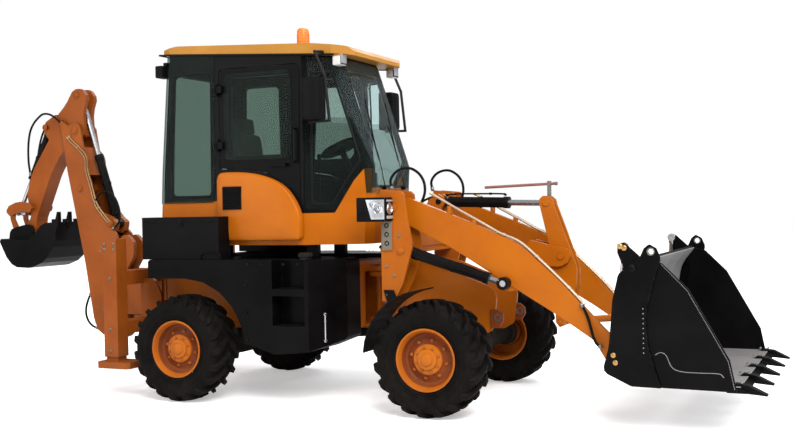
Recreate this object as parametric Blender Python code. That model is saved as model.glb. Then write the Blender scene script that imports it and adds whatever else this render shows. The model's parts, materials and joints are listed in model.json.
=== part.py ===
"""Articulated backhoe loader, parked on its wheels with the hoe folded behind the cab.

Metres, X forward, Y to the left, Z up. Places along X are counted from the rear axle, heights from
the ground. The empty "machine" carries everything and puts the origin under the middle of the box.
"""
import math

import bmesh
import bpy
from mathutils import Matrix, Vector

# Clearances
GAP = 0.0003          # between pieces that rest on each other
RUN = 0.006           # between pieces that move past each other
SIDE_PLAY = 0.0009    # beside an eye between its ears
BORE_PLAY = 0.0001    # round a pin in its bore, beyond the corners of its sides

# Whole machine
MID_X = 1.04          # from the rear axle to the middle of the machine's box
WHEELBASE = 2.40
WHEEL_Y = 0.936       # centre of a wheel from the middle plane
PIVOT_X = 1.50        # articulation

# Wheels
TYRE_R = 0.475
TYRE_WIDTH = 0.38
LUG_HEIGHT = 0.030
LUG_COUNT = 10        # on each half of the tread
LUG_WIDTH = 0.058
LUG_SLANT = math.radians(38)
RIM_R = 0.254
RIM_WIDTH = 0.330
RIM_WALL = 0.012
RIM_DROP = 0.024      # seat of the tyre below the flange
HUB_R = 0.128
HUB_OUT = 0.135       # hub face outside the wheel's centre
SPIGOT_R = 0.060
WHEEL_STEPS = 20

# Axles
AXLE_TUBE_R = 0.085
AXLE_CASE_R = 0.165
AXLE_FLANGE_R = 0.120
AXLE_PAD = (0.10, 0.24, 0.33)      # half length, inner and outer y
FRAME_BOTTOM = TYRE_R + 0.110      # underside of both frames over the axles

# Frames
ENGINE_BOTTOM = TYRE_R + AXLE_CASE_R
FRAME_Y = 0.300
FRAME_PLATE = 0.030
HINGE_LUG_HALF = 0.085
HINGE_PIN_R = 0.035
HINGE_LOW = 0.64
HINGE_HIGH = 1.12
HINGE_PLATE = 0.045

# Loader
ARM_PIVOT = (1.970, 1.700)
ARM_Y = 0.510         # inner face of an arm
ARM_PLATE = 0.060
ARM_PIN_R = 0.034
TOWER_IN_Y = 0.475
TOWER_OUT_Y = 0.680
TOWER_PLATE = 0.025
BUCKET_PIN = (3.850, 0.500)
CRANK_PIVOT = (3.240, 1.257)
CRANK_TOP = (3.110, 1.710)
CRANK_LOW = (3.220, 0.700)
LINK_PIN = (3.862, 0.750)
TILT_BASE = (2.120, 1.740)
LIFT_BASE = (2.030, 1.330)
LIFT_EYE = (2.910, 1.062)
LIFT_Y = 0.625
JAW_PIN = (4.050, 1.220)
JAW_EYE = (3.975, 1.375)
JAW_BASE = (3.925, 0.640)
JAW_RAM_Y = 0.985
BUCKET_Y = 1.050      # outer face of the jaw's side plates
BUCKET_PLATE = 0.020
TOOTH_COUNT = 5

# Hoe
SWING_X = -1.200
BOOM_FOOT = (-1.470, 0.480)
BOOM_RAM_BASE = (-1.860, 1.950)    # barrel pin, on the boom
BOOM_RAM_EYE = (-1.300, 0.980)     # rod eye, in the swing post
DIPPER_PIN = (-1.920, 2.560)
DIPPER_RAM_BASE = (-1.485, 1.585)
DIPPER_TAIL = (-1.919, 2.926)
HOE_BUCKET_PIN = (-2.580, 1.520)
HOE_LINK_PIN = (-2.765, 1.500)
ROCKER_PIN = (-2.540, 1.760)
ROCKER_EYE = (-2.800, 1.720)
HOE_RAM_BASE = (-2.350, 2.610)
BOOM_Y = 0.130        # outer face of the boom's side plates
BOOM_PLATE = 0.025
DIPPER_Y = 0.085
HOE_BUCKET_Y = 0.280
HOE_TOOTH_COUNT = 4

# Stabilizers
LEG_X = -0.792
LEG_Y = 0.925
LEG_BOX = (0.078, 0.075)           # half size of the outer box in x and y
LEG_WALL = 0.012
LEG_TOP = 1.455
LEG_BOTTOM = 0.360
LEG_PLAY = 0.0008
PAD_BOTTOM = 0.262
PAD_TOP = 0.320

# Cab
CAB_BOTTOM = 1.380
CAB_FLOOR = (1.560, 1.600)
CAB_WALL = 0.050
# z, rear x, front x, half width, half width of the nose, x where the nose begins
CAB_SECTIONS = [
    (1.380, -0.510, 1.620, 0.650, 0.450, 1.080),
    (2.070, -0.475, 1.660, 0.648, 0.450, 1.080),
    (3.300, -0.395, 1.260, 0.622, 0.450, 1.060),
]
CAB_TOP = [(-0.700, 3.190), (1.900, 3.012)]   # slanting top edge of the cab, x and z
DOOR_X = (0.205, 1.045)
DOOR_HINGE = (0.200, 0.672)        # x and y of the hinge pins
DOOR_HINGE_Z = (2.290, 2.800)
DOOR_PIN_R = 0.009
KNUCKLE_HALF = 0.030
CAB_MOUNT_X = (-0.400, 0.900)
GLASS = 0.006
ROOF_X = (-0.450, 1.520)
ROOF_Y = 0.640
BEACON = (0.800, -0.100, 3.184)

FILLET_STEP = math.radians(45)
SMALL_FILLET = 0.045  # corners up to this radius get one flat
THIN_PIN_R = 0.026    # pins up to this radius get fewer sides


# Outlines and plain solids

def outline(rows, at=(0.0, 0.0)):
    """Points of a closed outline whose rows are (across, up, corner radius)."""
    points = []
    for i, (across, up, radius) in enumerate(rows):
        here = Vector((across, up))
        if radius <= 0.0:
            points.append(here)
            continue
        before = (Vector(rows[i - 1][:2]) - here).normalized()
        after = (Vector(rows[(i + 1) % len(rows)][:2]) - here).normalized()
        half = before.angle(after) / 2.0
        centre = here + (before + after).normalized() * radius / math.sin(half)
        start = here + before * radius / math.tan(half) - centre
        turn = math.pi - 2.0 * half
        if before.x * after.y - before.y * after.x > 0.0:
            turn = -turn
        steps = 1 if radius <= SMALL_FILLET else max(1, round(abs(turn) / FILLET_STEP))
        for k in range(steps + 1):
            angle = turn * k / steps
            c, s = math.cos(angle), math.sin(angle)
            points.append(centre + Vector((start.x * c - start.y * s, start.x * s + start.y * c)))
    return [Vector((p.x + at[0], p.y + at[1])) for p in points]


def finish(bm):
    """Turn a bmesh into a mesh with its faces pointing out."""
    bmesh.ops.recalc_face_normals(bm, faces=bm.faces)
    mesh = bpy.data.meshes.new("solid")
    bm.to_mesh(mesh)
    bm.free()
    return mesh


def extrude(points, place, near, far):
    """Prism over flat points; place(point, depth) gives the corner in space."""
    bm = bmesh.new()
    first = [bm.verts.new(place(p, near)) for p in points]
    last = [bm.verts.new(place(p, far)) for p in points]
    bm.faces.new(first)
    bm.faces.new(reversed(last))
    for i in range(len(points)):
        j = (i + 1) % len(points)
        bm.faces.new((first[i], first[j], last[j], last[i]))
    return finish(bm)


def plate(rows, y0, y1, at=(0.0, 0.0)):
    """A side outline, rows of (x, z, corner radius), extruded from y0 to y1."""
    return extrude(outline(rows, at), lambda p, y: (p.x, y, p.y), y0, y1)


def slab(rows, z0, z1):
    """A plan outline, rows of (x, y, corner radius), extruded from z0 to z1."""
    return extrude(outline(rows), lambda p, z: (p.x, p.y, z), z0, z1)


def wall(rows, x0, x1):
    """An outline seen from the front, rows of (y, z, corner radius), extruded from x0 to x1."""
    return extrude(outline(rows), lambda p, x: (x, p.x, p.y), x0, x1)


def box(x0, x1, y0, y1, z0, z1):
    return plate([(x0, z0, 0), (x1, z0, 0), (x1, z1, 0), (x0, z1, 0)], y0, y1)


def sides(radius):
    """How many sides a round pin or bore gets."""
    if radius <= DOOR_PIN_R:
        return 8
    return 12 if radius <= THIN_PIN_R else 14


def bar(start, end, radius, steps=None):
    """Round bar between two points."""
    steps = steps or sides(radius)
    start, end = Vector(start), Vector(end)
    along = (end - start).normalized()
    side = Vector((0.0, 1.0, 0.0)) if abs(along.y) < 0.9 else Vector((0.0, 0.0, 1.0))
    side = (side - along * side.dot(along)).normalized()
    other = along.cross(side)
    ring = [Vector((math.cos(a), math.sin(a))) * radius
            for a in (2.0 * math.pi * k / steps for k in range(steps))]
    length = (end - start).length
    return extrude(ring, lambda p, d: start + side * p.x + other * p.y + along * d, 0.0, length)


def cross_pin(at, radius, y0, y1, steps=None):
    """Round bar across the machine at (x, z)."""
    return bar((at[0], y0, at[1]), (at[0], y1, at[1]), radius, steps)


def bore_radius(radius, steps=None):
    """A bore whose flats clear the corners of a pin that turns in it."""
    steps = steps or sides(radius)
    return radius / math.cos(math.pi / steps) + BORE_PLAY


def cross_bore(at, radius, y0, y1):
    """Cutter for a bore that clears a cross pin of the given radius."""
    return cross_pin(at, bore_radius(radius), y0, y1, sides(radius))


def turned(rows, steps):
    """Ring turned about the Y axis; rows are (y, radius) round a closed profile."""
    bm = bmesh.new()
    rings = []
    for k in range(steps):
        a = 2.0 * math.pi * k / steps
        rings.append([bm.verts.new((r * math.cos(a), y, r * math.sin(a))) for y, r in rows])
    for k in range(steps):
        here, there = rings[k], rings[(k + 1) % steps]
        for i in range(len(rows)):
            j = (i + 1) % len(rows)
            bm.faces.new((here[i], here[j], there[j], there[i]))
    return finish(bm)


def capped(rows, steps, place):
    """Turned solid with closed ends; rows are (along, radius), place maps a local point."""
    bm = bmesh.new()
    rings = []
    for along, radius in rows:
        ring = [bm.verts.new(place(Vector((radius * math.cos(a), radius * math.sin(a), along))))
                for a in (2.0 * math.pi * k / steps for k in range(steps))]
        rings.append(ring)
    for low, high in zip(rings, rings[1:]):
        for k in range(steps):
            j = (k + 1) % steps
            bm.faces.new((low[k], low[j], high[j], high[k]))
    bm.faces.new(rings[0])
    bm.faces.new(reversed(rings[-1]))
    return finish(bm)


# Joining and cutting

def boolean(base, tools, operation):
    """Union or difference of a mesh with several tool meshes."""
    scene = bpy.context.scene.collection
    work = bpy.data.objects.new("work", base)
    scene.objects.link(work)
    helpers = []
    for tool in tools:
        helper = bpy.data.objects.new("tool", tool)
        scene.objects.link(helper)
        helpers.append(helper)
        modifier = work.modifiers.new("shape", 'BOOLEAN')
        modifier.operation = operation
        modifier.solver = 'EXACT'
        modifier.object = helper
    graph = bpy.context.evaluated_depsgraph_get()
    result = bpy.data.meshes.new_from_object(work.evaluated_get(graph))
    for item in [work] + helpers:
        bpy.data.objects.remove(item)
    return result


def fuse(*parts):
    return boolean(parts[0], parts[1:], 'UNION')


def cut(base, *tools):
    return boolean(base, tools, 'DIFFERENCE')


def common(base, tool):
    return boolean(base, [tool], 'INTERSECT')


def mirrored(mesh):
    """The same solid on the other side of the middle plane."""
    copy = mesh.copy()
    copy.transform(Matrix.Diagonal((1.0, -1.0, 1.0, 1.0)))
    copy.flip_normals()
    return copy


# Objects, materials and empties

def material(name, color, roughness, metallic=0.0):
    """A plain principled material."""
    made = bpy.data.materials.get(name)
    if made is None:
        made = bpy.data.materials.new(name)
        made.use_nodes = True
        shader = made.node_tree.nodes["Principled BSDF"]
        shader.inputs["Base Color"].default_value = (*color, 1.0)
        shader.inputs["Roughness"].default_value = roughness
        shader.inputs["Metallic"].default_value = metallic
    return made


# name: linear colour, roughness, metallic
FINISHES = {
    "orange_paint": ((0.571, 0.156, 0.012), 0.38, 0.0),
    "dark_orange": ((0.352, 0.090, 0.020), 0.45, 0.0),
    "roof_orange": ((0.540, 0.258, 0.062), 0.45, 0.0),
    "black_paint": ((0.006, 0.005, 0.005), 0.40, 0.0),
    "black_rubber": ((0.008, 0.007, 0.007), 0.75, 0.0),
    "cast_metal": ((0.060, 0.055, 0.050), 0.55, 0.6),
    "bright_rod": ((0.620, 0.620, 0.620), 0.15, 1.0),
    "tinted_glass": ((0.200, 0.300, 0.245), 0.05, 0.0),
    "seat_cover": ((0.020, 0.020, 0.022), 0.80, 0.0),
    "amber": ((0.830, 0.220, 0.036), 0.25, 0.0),
}


def empty(name, at, parent):
    """An empty at (x, y, z) counted from the rear axle."""
    made = bpy.data.objects.new(name, None)
    bpy.context.scene.collection.objects.link(made)
    made.parent = parent
    made.location = Vector(at) - (place_of(parent) if parent else Vector())
    return made


def place_of(thing):
    """Where an empty lies, counted from the rear axle."""
    place = Vector()
    while thing is not None and thing.parent is not None:
        place += thing.location
        thing = thing.parent
    return place


def part(name, mesh, finish_name, parent):
    """A named sub-part; its mesh is made in machine coordinates and moved to its parent's place."""
    mesh.name = name
    mesh.transform(Matrix.Translation(-place_of(parent)))
    mesh.materials.clear()
    mesh.materials.append(material(finish_name, *FINISHES[finish_name]))
    made = bpy.data.objects.new(name, mesh)
    bpy.context.scene.collection.objects.link(made)
    made.parent = parent
    return made


# Wheels and axles

def tyre_mesh():
    """Solid of a tyre with slanted lugs, centred on its own middle, axle along Y."""
    half = TYRE_WIDTH / 2.0
    crown = TYRE_R - LUG_HEIGHT
    seat = RIM_R - RIM_DROP + GAP
    bead = RIM_WIDTH / 2.0 - RIM_WALL - GAP
    rows = [(-bead, seat), (-bead, RIM_R + 0.004), (-half, RIM_R + 0.085),
            (-half + 0.022, crown - 0.012), (half - 0.022, crown - 0.012),
            (half, RIM_R + 0.085), (bead, RIM_R + 0.004), (bead, seat)]
    body = turned(rows, WHEEL_STEPS)
    lugs = []
    for side in (-1, 1):
        for k in range(LUG_COUNT):
            angle = 2.0 * math.pi * (k + (0.5 if side > 0 else 0.0)) / LUG_COUNT
            lugs.append(lug_mesh(side, angle))
    return fuse(body, joined(lugs))


def joined(meshes):
    """Several solids that don't touch, as one mesh."""
    bm = bmesh.new()
    for mesh in meshes:
        bm.from_mesh(mesh)
    made = bpy.data.meshes.new("several")
    bm.to_mesh(made)
    bm.free()
    return made


def lug_mesh(side, angle):
    """One lug: a bar that runs from near the middle of the tread out over the shoulder."""
    half = TYRE_WIDTH / 2.0
    crown = TYRE_R - LUG_HEIGHT
    # y, outer radius, inner radius
    stations = [(0.012, TYRE_R, crown - 0.020), (half - 0.034, TYRE_R - 0.004, crown - 0.030),
                (half - 0.004, TYRE_R - 0.050, crown - 0.085)]
    bm = bmesh.new()
    rings = []
    for y, outer, inner in stations:
        lead = angle + math.tan(LUG_SLANT) * y / TYRE_R
        ring = []
        for radius, width in ((inner, LUG_WIDTH), (inner, -LUG_WIDTH),
                              (outer, -LUG_WIDTH * 0.8), (outer, LUG_WIDTH * 0.8)):
            turn = lead + width / 2.0 / radius
            ring.append(bm.verts.new((radius * math.cos(turn), side * y, radius * math.sin(turn))))
        rings.append(ring)
    for low, high in zip(rings, rings[1:]):
        for k in range(4):
            j = (k + 1) % 4
            bm.faces.new((low[k], low[j], high[j], high[k]))
    bm.faces.new(rings[0])
    bm.faces.new(reversed(rings[-1]))
    return finish(bm)


def rim_mesh(out):
    """Dished rim with its hub; out is +1 or -1, the side that faces away from the machine."""
    half = RIM_WIDTH / 2.0
    seat = RIM_R - RIM_DROP
    inner = seat - RIM_WALL
    # distance outwards from the wheel's middle, radius
    rows = [(-half, inner), (-half, RIM_R), (-half + RIM_WALL, RIM_R), (-half + RIM_WALL, seat),
            (half - RIM_WALL, seat), (half - RIM_WALL, RIM_R), (half, RIM_R), (half, inner),
            (0.012, inner - 0.012), (0.0, HUB_R + 0.030), (HUB_OUT - 0.055, HUB_R),
            (HUB_OUT, HUB_R - 0.006), (HUB_OUT, 0.004),
            (0.080, 0.004), (0.080, SPIGOT_R),
            (-0.030, SPIGOT_R), (-0.030, inner - 0.012)]
    return turned([(out * y, r) for y, r in rows], WHEEL_STEPS)


def axle_mesh(x):
    """Axle case with flanges, frame pads and the spigots that carry the wheels."""
    face = WHEEL_Y - 0.030 - RUN
    tip = WHEEL_Y + 0.070
    spigot = (SPIGOT_R - BORE_PLAY) * math.cos(math.pi / WHEEL_STEPS)
    rows = [(-tip, spigot), (-face, spigot), (-face, AXLE_FLANGE_R), (-face + 0.030, AXLE_FLANGE_R),
            (-face + 0.045, AXLE_TUBE_R), (-0.240, AXLE_TUBE_R), (-0.080, AXLE_CASE_R),
            (0.080, AXLE_CASE_R), (0.240, AXLE_TUBE_R), (face - 0.045, AXLE_TUBE_R), (face - 0.030, AXLE_FLANGE_R),
            (face, AXLE_FLANGE_R), (face, spigot), (tip, spigot)]
    case = capped(rows, WHEEL_STEPS, lambda p: (x + p.x, p.z, TYRE_R + p.y))
    length, inner, outer = AXLE_PAD
    top = FRAME_BOTTOM - GAP
    pads = [box(x - length, x + length, y0, y1, TYRE_R, top)
            for y0, y1 in ((inner, outer), (-outer, -inner))]
    return fuse(case, *pads)


def wheels(rear, front):
    tyre = tyre_mesh()
    # name, x, parent empty
    for end, x, parent in (("rear", 0.0, rear), ("front", WHEELBASE, front)):
        for hand, out in (("right", -1), ("left", 1)):
            y = out * WHEEL_Y
            hub = empty(f"{end}_wheel_{hand}", (x, y, TYRE_R), parent)
            shell = tyre.copy() if out > 0 else mirrored(tyre)
            rim = rim_mesh(out)
            for mesh in (shell, rim):
                mesh.transform(Matrix.Translation((x, y, TYRE_R)))
            part(f"tyre_{end}_{hand}", shell, "black_rubber", hub)
            part(f"rim_{end}_{hand}", rim, "orange_paint", hub)


# Frames

def hinge_lugs(x0, x1, levels):
    """Rounded horizontal lugs from x0 to the pivot at x1; levels are (z0, z1)."""
    half = HINGE_LUG_HALF
    end = x1 + half if x1 > x0 else x1 - half
    rows = [(x0, -half, 0), (end, -half, half * 0.6), (end, half, half * 0.6), (x0, half, 0)]
    return [slab(rows, z0, z1) for z0, z1 in levels]


def rear_frame_mesh():
    y, t = FRAME_Y, FRAME_PLATE
    low = FRAME_BOTTOM
    side = [(-0.700, low - 0.050, 0.04), (-0.260, low - 0.050, 0), (-0.200, low, 0), (0.200, low, 0),
            (0.260, low - 0.060, 0), (0.900, low - 0.060, 0), (1.220, 0.630, 0), (1.440, 0.630, 0),
            (1.440, 1.215, 0), (1.220, 1.215, 0), (1.100, 1.150, 0.05), (-0.700, 1.150, 0)]
    parts = [plate(side, -y, -y + t), plate(side, y - t, y)]
    parts.append(box(1.225, 1.445, -y - 0.045, y + 0.045, 0.625, 1.220))
    parts.append(box(-0.705, -0.670, -y - 0.01, y + 0.01, 0.560, 1.155))
    for x in (-0.420, 0.600):
        parts.append(box(x, x + 0.100, -y + 0.005, y - 0.005, low + 0.004, 0.640 - GAP))
    # lugs outside the front frame's pair
    levels = [(HINGE_LOW - HINGE_PLATE, HINGE_LOW), (HINGE_HIGH, HINGE_HIGH + HINGE_PLATE)]
    body = fuse(parts[0], *parts[1:])
    body = cut(body, box(1.262, 1.500, -0.200, 0.200, HINGE_LOW, HINGE_HIGH))
    body = fuse(body, *hinge_lugs(1.300, PIVOT_X, levels))
    pin = bar((PIVOT_X, 0, HINGE_LOW - HINGE_PLATE - 0.010), (PIVOT_X, 0, HINGE_HIGH + HINGE_PLATE + 0.010),
              HINGE_PIN_R)
    return fuse(body, pin)


def front_frame_mesh():
    y, t = FRAME_Y, FRAME_PLATE
    low = FRAME_BOTTOM
    f = WHEELBASE
    side = [(1.745, 0.600, 0), (f - 0.260, low - 0.045, 0), (f - 0.200, low, 0), (f + 0.200, low, 0),
            (f + 0.300, 0.640, 0.05), (f + 0.340, 0.980, 0.10), (2.180, 1.200, 0.10), (1.880, 1.240, 0),
            (1.745, 1.180, 0)]
    tower = [(1.850, 0.900, 0), (1.960, 0.900, 0), (2.047, 1.052, 0.10), (2.138, 1.376, 0.10),
             (2.090, 1.632, 0.05), (2.066, 1.830, 0.03), (1.850, 1.851, 0)]
    parts = [plate(side, -y, -y + t), plate(side, y - t, y)]
    parts.append(box(1.740, 1.885, -y - 0.010, y + 0.010, 0.605, 1.185))
    for s in (-1, 1):
        for near in (TOWER_IN_Y, TOWER_OUT_Y):
            ends = sorted((s * near, s * (near + TOWER_PLATE)))
            parts.append(plate(tower, *ends))
        ends = sorted((s * (TOWER_IN_Y + 0.005), s * (TOWER_OUT_Y + TOWER_PLATE - 0.002)))
        parts.append(box(1.852, 1.867, ends[0], ends[1], 0.905, 1.845))
        ends = sorted((s * (y - 0.010), s * (TOWER_OUT_Y + TOWER_PLATE - 0.004)))
        parts.append(box(1.856, 1.886, ends[0], ends[1], 0.905, 1.180))
        parts.append(headlamp(s))
    half = TOWER_IN_Y + 0.010
    parts.append(box(1.900, 2.020, -half, half, 1.300, 1.620))
    ear = [(1.960, 1.560, 0), (2.080, 1.560, 0.03), (2.185, 1.740, 0.06), (2.150, 1.810, 0.05),
           (2.060, 1.810, 0.05), (1.960, 1.640, 0)]
    for s in (-1, 1):
        parts.append(plate(ear, *sorted((s * 0.036, s * 0.066))))
    body = fuse(parts[0], *parts[1:])
    levels = [(HINGE_LOW + RUN, HINGE_LOW + RUN + HINGE_PLATE),
              (HINGE_HIGH - RUN - HINGE_PLATE, HINGE_HIGH - RUN)]
    body = fuse(body, *hinge_lugs(1.780, PIVOT_X, levels))
    bore = bar((PIVOT_X, 0, 0.5), (PIVOT_X, 0, 1.3), bore_radius(HINGE_PIN_R), sides(HINGE_PIN_R))
    arm_bore = cross_bore(ARM_PIVOT, ARM_PIN_R, -0.8, 0.8)
    lift_bore = cross_bore(LIFT_BASE, 0.022, -0.8, 0.8)
    tilt_bore = cross_bore(TILT_BASE, 0.025, -0.1, 0.1)
    return cut(body, bore, arm_bore, lift_bore, tilt_bore)


def headlamp(s):
    """Headlamp in its housing on a flat bracket beside the tower."""
    out = TOWER_OUT_Y + TOWER_PLATE
    parts = [box(1.860, 1.960, *sorted((s * (out - 0.005), s * (out + 0.010))), 1.330, 1.640)]
    parts.append(box(1.700, 1.960, *sorted((s * (out + 0.006), s * (out + 0.150))), 1.585, 1.780))
    return fuse(*parts)


def fender_mesh():
    """Right front fender: an arc over the rear of the tyre on a bracket from the tower."""
    centre = (WHEELBASE, TYRE_R)
    inner = TYRE_R + 0.075
    thick = 0.012
    first, last, steps = math.radians(98), math.radians(176), 8
    angles = [first + (last - first) * k / steps for k in range(steps + 1)]
    rows = [(centre[0] + inner * math.cos(a), centre[1] + inner * math.sin(a), 0) for a in angles]
    rows += [(centre[0] + (inner + thick) * math.cos(a), centre[1] + (inner + thick) * math.sin(a), 0)
             for a in reversed(angles)]
    out = TOWER_OUT_Y + TOWER_PLATE + GAP
    arc = plate(rows, -1.080, -out)
    web = [(centre[0] + across, centre[1] + up, 0)
           for across, up in ((-0.462, 0.310), (-0.386, 0.401), (-0.440, 0.525), (-0.530, 0.525))]
    return fuse(arc, plate(web, -out - 0.012, -out))


# Rear half around the cab

def tank_mesh():
    """Right side tank with its deck over the wheel and two steps cut into its side."""
    arch = TYRE_R + 0.140
    turn = [math.radians(a) for a in (90, 72, 54, 36, 18, 4)]
    rows = [(-0.410, 1.260, 0.02), (-0.410, TYRE_R + arch, 0.01)]
    rows += [(arch * math.cos(a), TYRE_R + arch * math.sin(a), 0) for a in turn]
    rows += [(0.700, 0.510, 0.05), (0.910, 0.440, 0.05), (1.240, 0.470, 0.06), (1.470, 0.560, 0.03),
             (1.470, 1.260, 0.03)]
    inner, outer = FRAME_Y + GAP, 0.930
    solid = plate(rows, -outer, -inner)
    plan = [(-0.450, -outer - 0.01, 0), (1.250, -outer - 0.01, 0), (1.255, -outer, 0), (1.480, -0.600, 0),
            (1.480, -inner + 0.05, 0), (-0.450, -inner + 0.05, 0)]
    solid = common(solid, slab(plan, 0.3, 1.4))
    clear = box(1.220 - 0.003, 1.500, -FRAME_Y - 0.052, -0.2, 0.4, 1.4)
    wheel_side = box(-0.5, 0.62, -0.74, -0.28, 0.3, 1.235 - 0.03)
    step_low = box(0.900, 1.220, -1.0, -0.760, 0.690, 0.950)
    step_high = box(0.900, 1.220, -1.0, -0.760, 1.010, 1.300)
    return cut(solid, clear, step_low, step_high, wheel_side)


def side_box_mesh():
    """Right black box between the deck and the cab."""
    rows = [(-0.487, 1.2603, 0), (0.343, 1.2603, 0), (0.343, 1.645, 0), (-0.487, 1.645, 0)]
    rows = [(x, max(z, 1.260 + GAP), r) for x, z, r in rows]
    return plate(rows, -0.900, -0.650 - 0.075)


def offset(points, distance):
    """A convex outline moved outwards by a distance."""
    count = len(points)
    area = sum(points[i].x * points[(i + 1) % count].y - points[(i + 1) % count].x * points[i].y
               for i in range(count))
    sign = 1.0 if area > 0 else -1.0
    moved = []
    for i in range(count):
        a, b, c = points[i - 1], points[i], points[(i + 1) % count]
        n1 = Vector((b.y - a.y, a.x - b.x)).normalized() * sign
        n2 = Vector((c.y - b.y, b.x - c.x)).normalized() * sign
        mid = (n1 + n2).normalized()
        moved.append(b + mid * distance / mid.dot(n1))
    return moved


def cab_section(row, distance):
    z, rear, front, half, nose, shoulder = row
    corner = 0.070
    right = [(rear, -half + corner), (rear + corner, -half), (shoulder, -half), (front - 0.05, -nose),
             (front, -nose + 0.10)]
    points = right + [(x, -y) for x, y in reversed(right)]
    flat = offset([Vector(p) for p in points], distance)
    return [Vector((p.x, p.y, z)) for p in flat]


def cab_solid(distance, z_low=None, z_high=None):
    """Loft through the cab's sections, moved outwards by a distance."""
    low = CAB_SECTIONS[0][0] if z_low is None else z_low
    high = CAB_SECTIONS[-1][0] if z_high is None else z_high
    rows = [blend_row(low)] + [row for row in CAB_SECTIONS if low < row[0] < high] + [blend_row(high)]
    bm = bmesh.new()
    rings = [[bm.verts.new(p) for p in cab_section(row, distance)] for row in rows]
    count = len(rings[0])
    for low, high in zip(rings, rings[1:]):
        for k in range(count):
            j = (k + 1) % count
            near, far = (k, j) if k < count // 2 else (j, k)
            bm.faces.new((low[k], low[j], high[far]))
            bm.faces.new((high[k], high[j], low[near]))
    bm.faces.new(rings[0])
    bm.faces.new(reversed(rings[-1]))
    return finish(bm)


def blend_row(z):
    """A cab section at height z, between or beyond the table's rows."""
    rows = CAB_SECTIONS
    low, high = (rows[0], rows[1]) if z <= rows[1][0] else (rows[1], rows[2])
    share = (z - low[0]) / (high[0] - low[0])
    return [a + (b - a) * share for a, b in zip(low, high)]


def above_cab(lift=0.0):
    """Everything above the cab's slanting top edge."""
    (x0, z0), (x1, z1) = CAB_TOP
    return plate([(x0, z0 + lift, 0), (x1, z1 + lift, 0), (x1, 4.0, 0), (x0, 4.0, 0)], -1.0, 1.0)


def top_at(x):
    (x0, z0), (x1, z1) = CAB_TOP
    return z0 + (z1 - z0) * (x - x0) / (x1 - x0)


def door_rows(grow):
    """Outline of a door: full height in front, cut by a curve over the side cover behind."""
    x0, x1 = DOOR_X
    rows = [(x0, 2.080, 0), (x0, 2.985, 0.03), (x1, 2.985, 0.03), (x1, 1.665, 0), (0.931, 1.900, 0),
            (0.698, 2.030, 0), (0.440, 2.070, 0)]
    moved = offset([Vector(row[:2]) for row in rows], grow)
    return [(p.x, p.y, row[2]) for p, row in zip(moved, rows)]


WINDOWS = {
    # rows of x, z, corner radius
    "quarter": [(1.150, 1.740, 0.03), (1.320, 1.740, 0.03), (1.475, 1.990, 0.05), (1.560, 2.120, 0.04),
                (1.310, 2.900, 0.03), (1.150, 2.900, 0.03)],
    "rear_side": [(-0.340, 1.830, 0.04), (0.120, 1.830, 0.04), (0.120, 2.960, 0.04), (-0.300, 2.960, 0.04)],
    "door": [(0.300, 2.190, 0.04), (0.960, 2.190, 0.04), (0.960, 2.900, 0.04), (0.300, 2.900, 0.04)],
}


def side_cover():
    """Moulded cover below the right door, with a curved top edge and a louvre."""
    rows = [(0.220, 1.430, 0.02), (1.070, 1.430, 0.02), (1.070, 1.600, 0), (0.931, 1.865, 0.05),
            (0.698, 1.990, 0.08), (0.468, 2.033, 0), (0.220, 2.033, 0.06)]
    solid = plate(rows, -0.720, -0.640)
    slats = [box(0.290, 0.487, -0.730, -0.706, z, z + 0.011)
             for z in (1.705 + 0.0245 * k for k in range(9))]
    return cut(solid, joined(slats))


def cab_mesh():
    outer = cab_solid(0.0)
    room = cab_solid(-CAB_WALL, z_low=CAB_FLOOR[1], z_high=3.35)
    under = cab_solid(-CAB_WALL, z_low=1.300, z_high=CAB_FLOOR[0])
    shell = cut(outer, room, under)
    cutters = [above_cab()]
    cutters.append(plate(door_rows(0.005), -1.0, 1.0))
    cutters.append(plate(WINDOWS["quarter"], -1.0, 1.0))
    cutters.append(plate(WINDOWS["rear_side"], -1.0, 1.0))
    cutters.append(wall([(-0.370, 1.900, 0.05), (0.370, 1.900, 0.05), (0.370, 2.930, 0.05),
                         (-0.370, 2.930, 0.05)], 1.180, 1.900))
    cutters.append(wall([(-0.500, 1.830, 0.05), (0.500, 1.830, 0.05), (0.500, 2.980, 0.05),
                         (-0.500, 2.980, 0.05)], -0.700, -0.340))
    shell = cut(shell, *cutters)
    cover = side_cover()
    console = [box(1.180, 1.420, -0.160, 0.160, 1.590, 2.020),
               bar((1.250, 0.0, 1.980), (1.120, 0.0, 2.260), 0.030, 12),
               bar((1.126, 0.0, 2.247), (1.113, 0.0, 2.275), 0.190, 14)]
    mounts = []
    top = 1.150 + GAP
    for s in (-1, 1):
        for x in CAB_MOUNT_X:
            mounts.append(box(x, x + 0.120, *sorted((s * 0.245, s * 0.299)), top, CAB_FLOOR[0] + 0.010))
    return fuse(shell, cover, mirrored(cover), *console, *mounts, *hinge_pins(-1), *hinge_pins(1))


def hinge_pins(s):
    """Door hinge pins on the pillar, each between two leaves."""
    x, y = DOOR_HINGE
    end = KNUCKLE_HALF + 0.025
    parts = []
    for z in DOOR_HINGE_Z:
        parts.append(bar((x, s * y, z - end), (x, s * y, z + end), DOOR_PIN_R))
        for low, high in ((-end, -KNUCKLE_HALF - 0.0005), (KNUCKLE_HALF + 0.0005, end)):
            parts.append(box(x - 0.038, x - 0.002, *sorted((s * (y - 0.052), s * (y + 0.012))), z + low, z + high))
    return parts


def glazing(region):
    """Bonded glass round the outside of the cab within a region."""
    return cut(common(cab_solid(GAP + GLASS), region), cab_solid(GAP, z_low=1.300, z_high=3.350))


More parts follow.
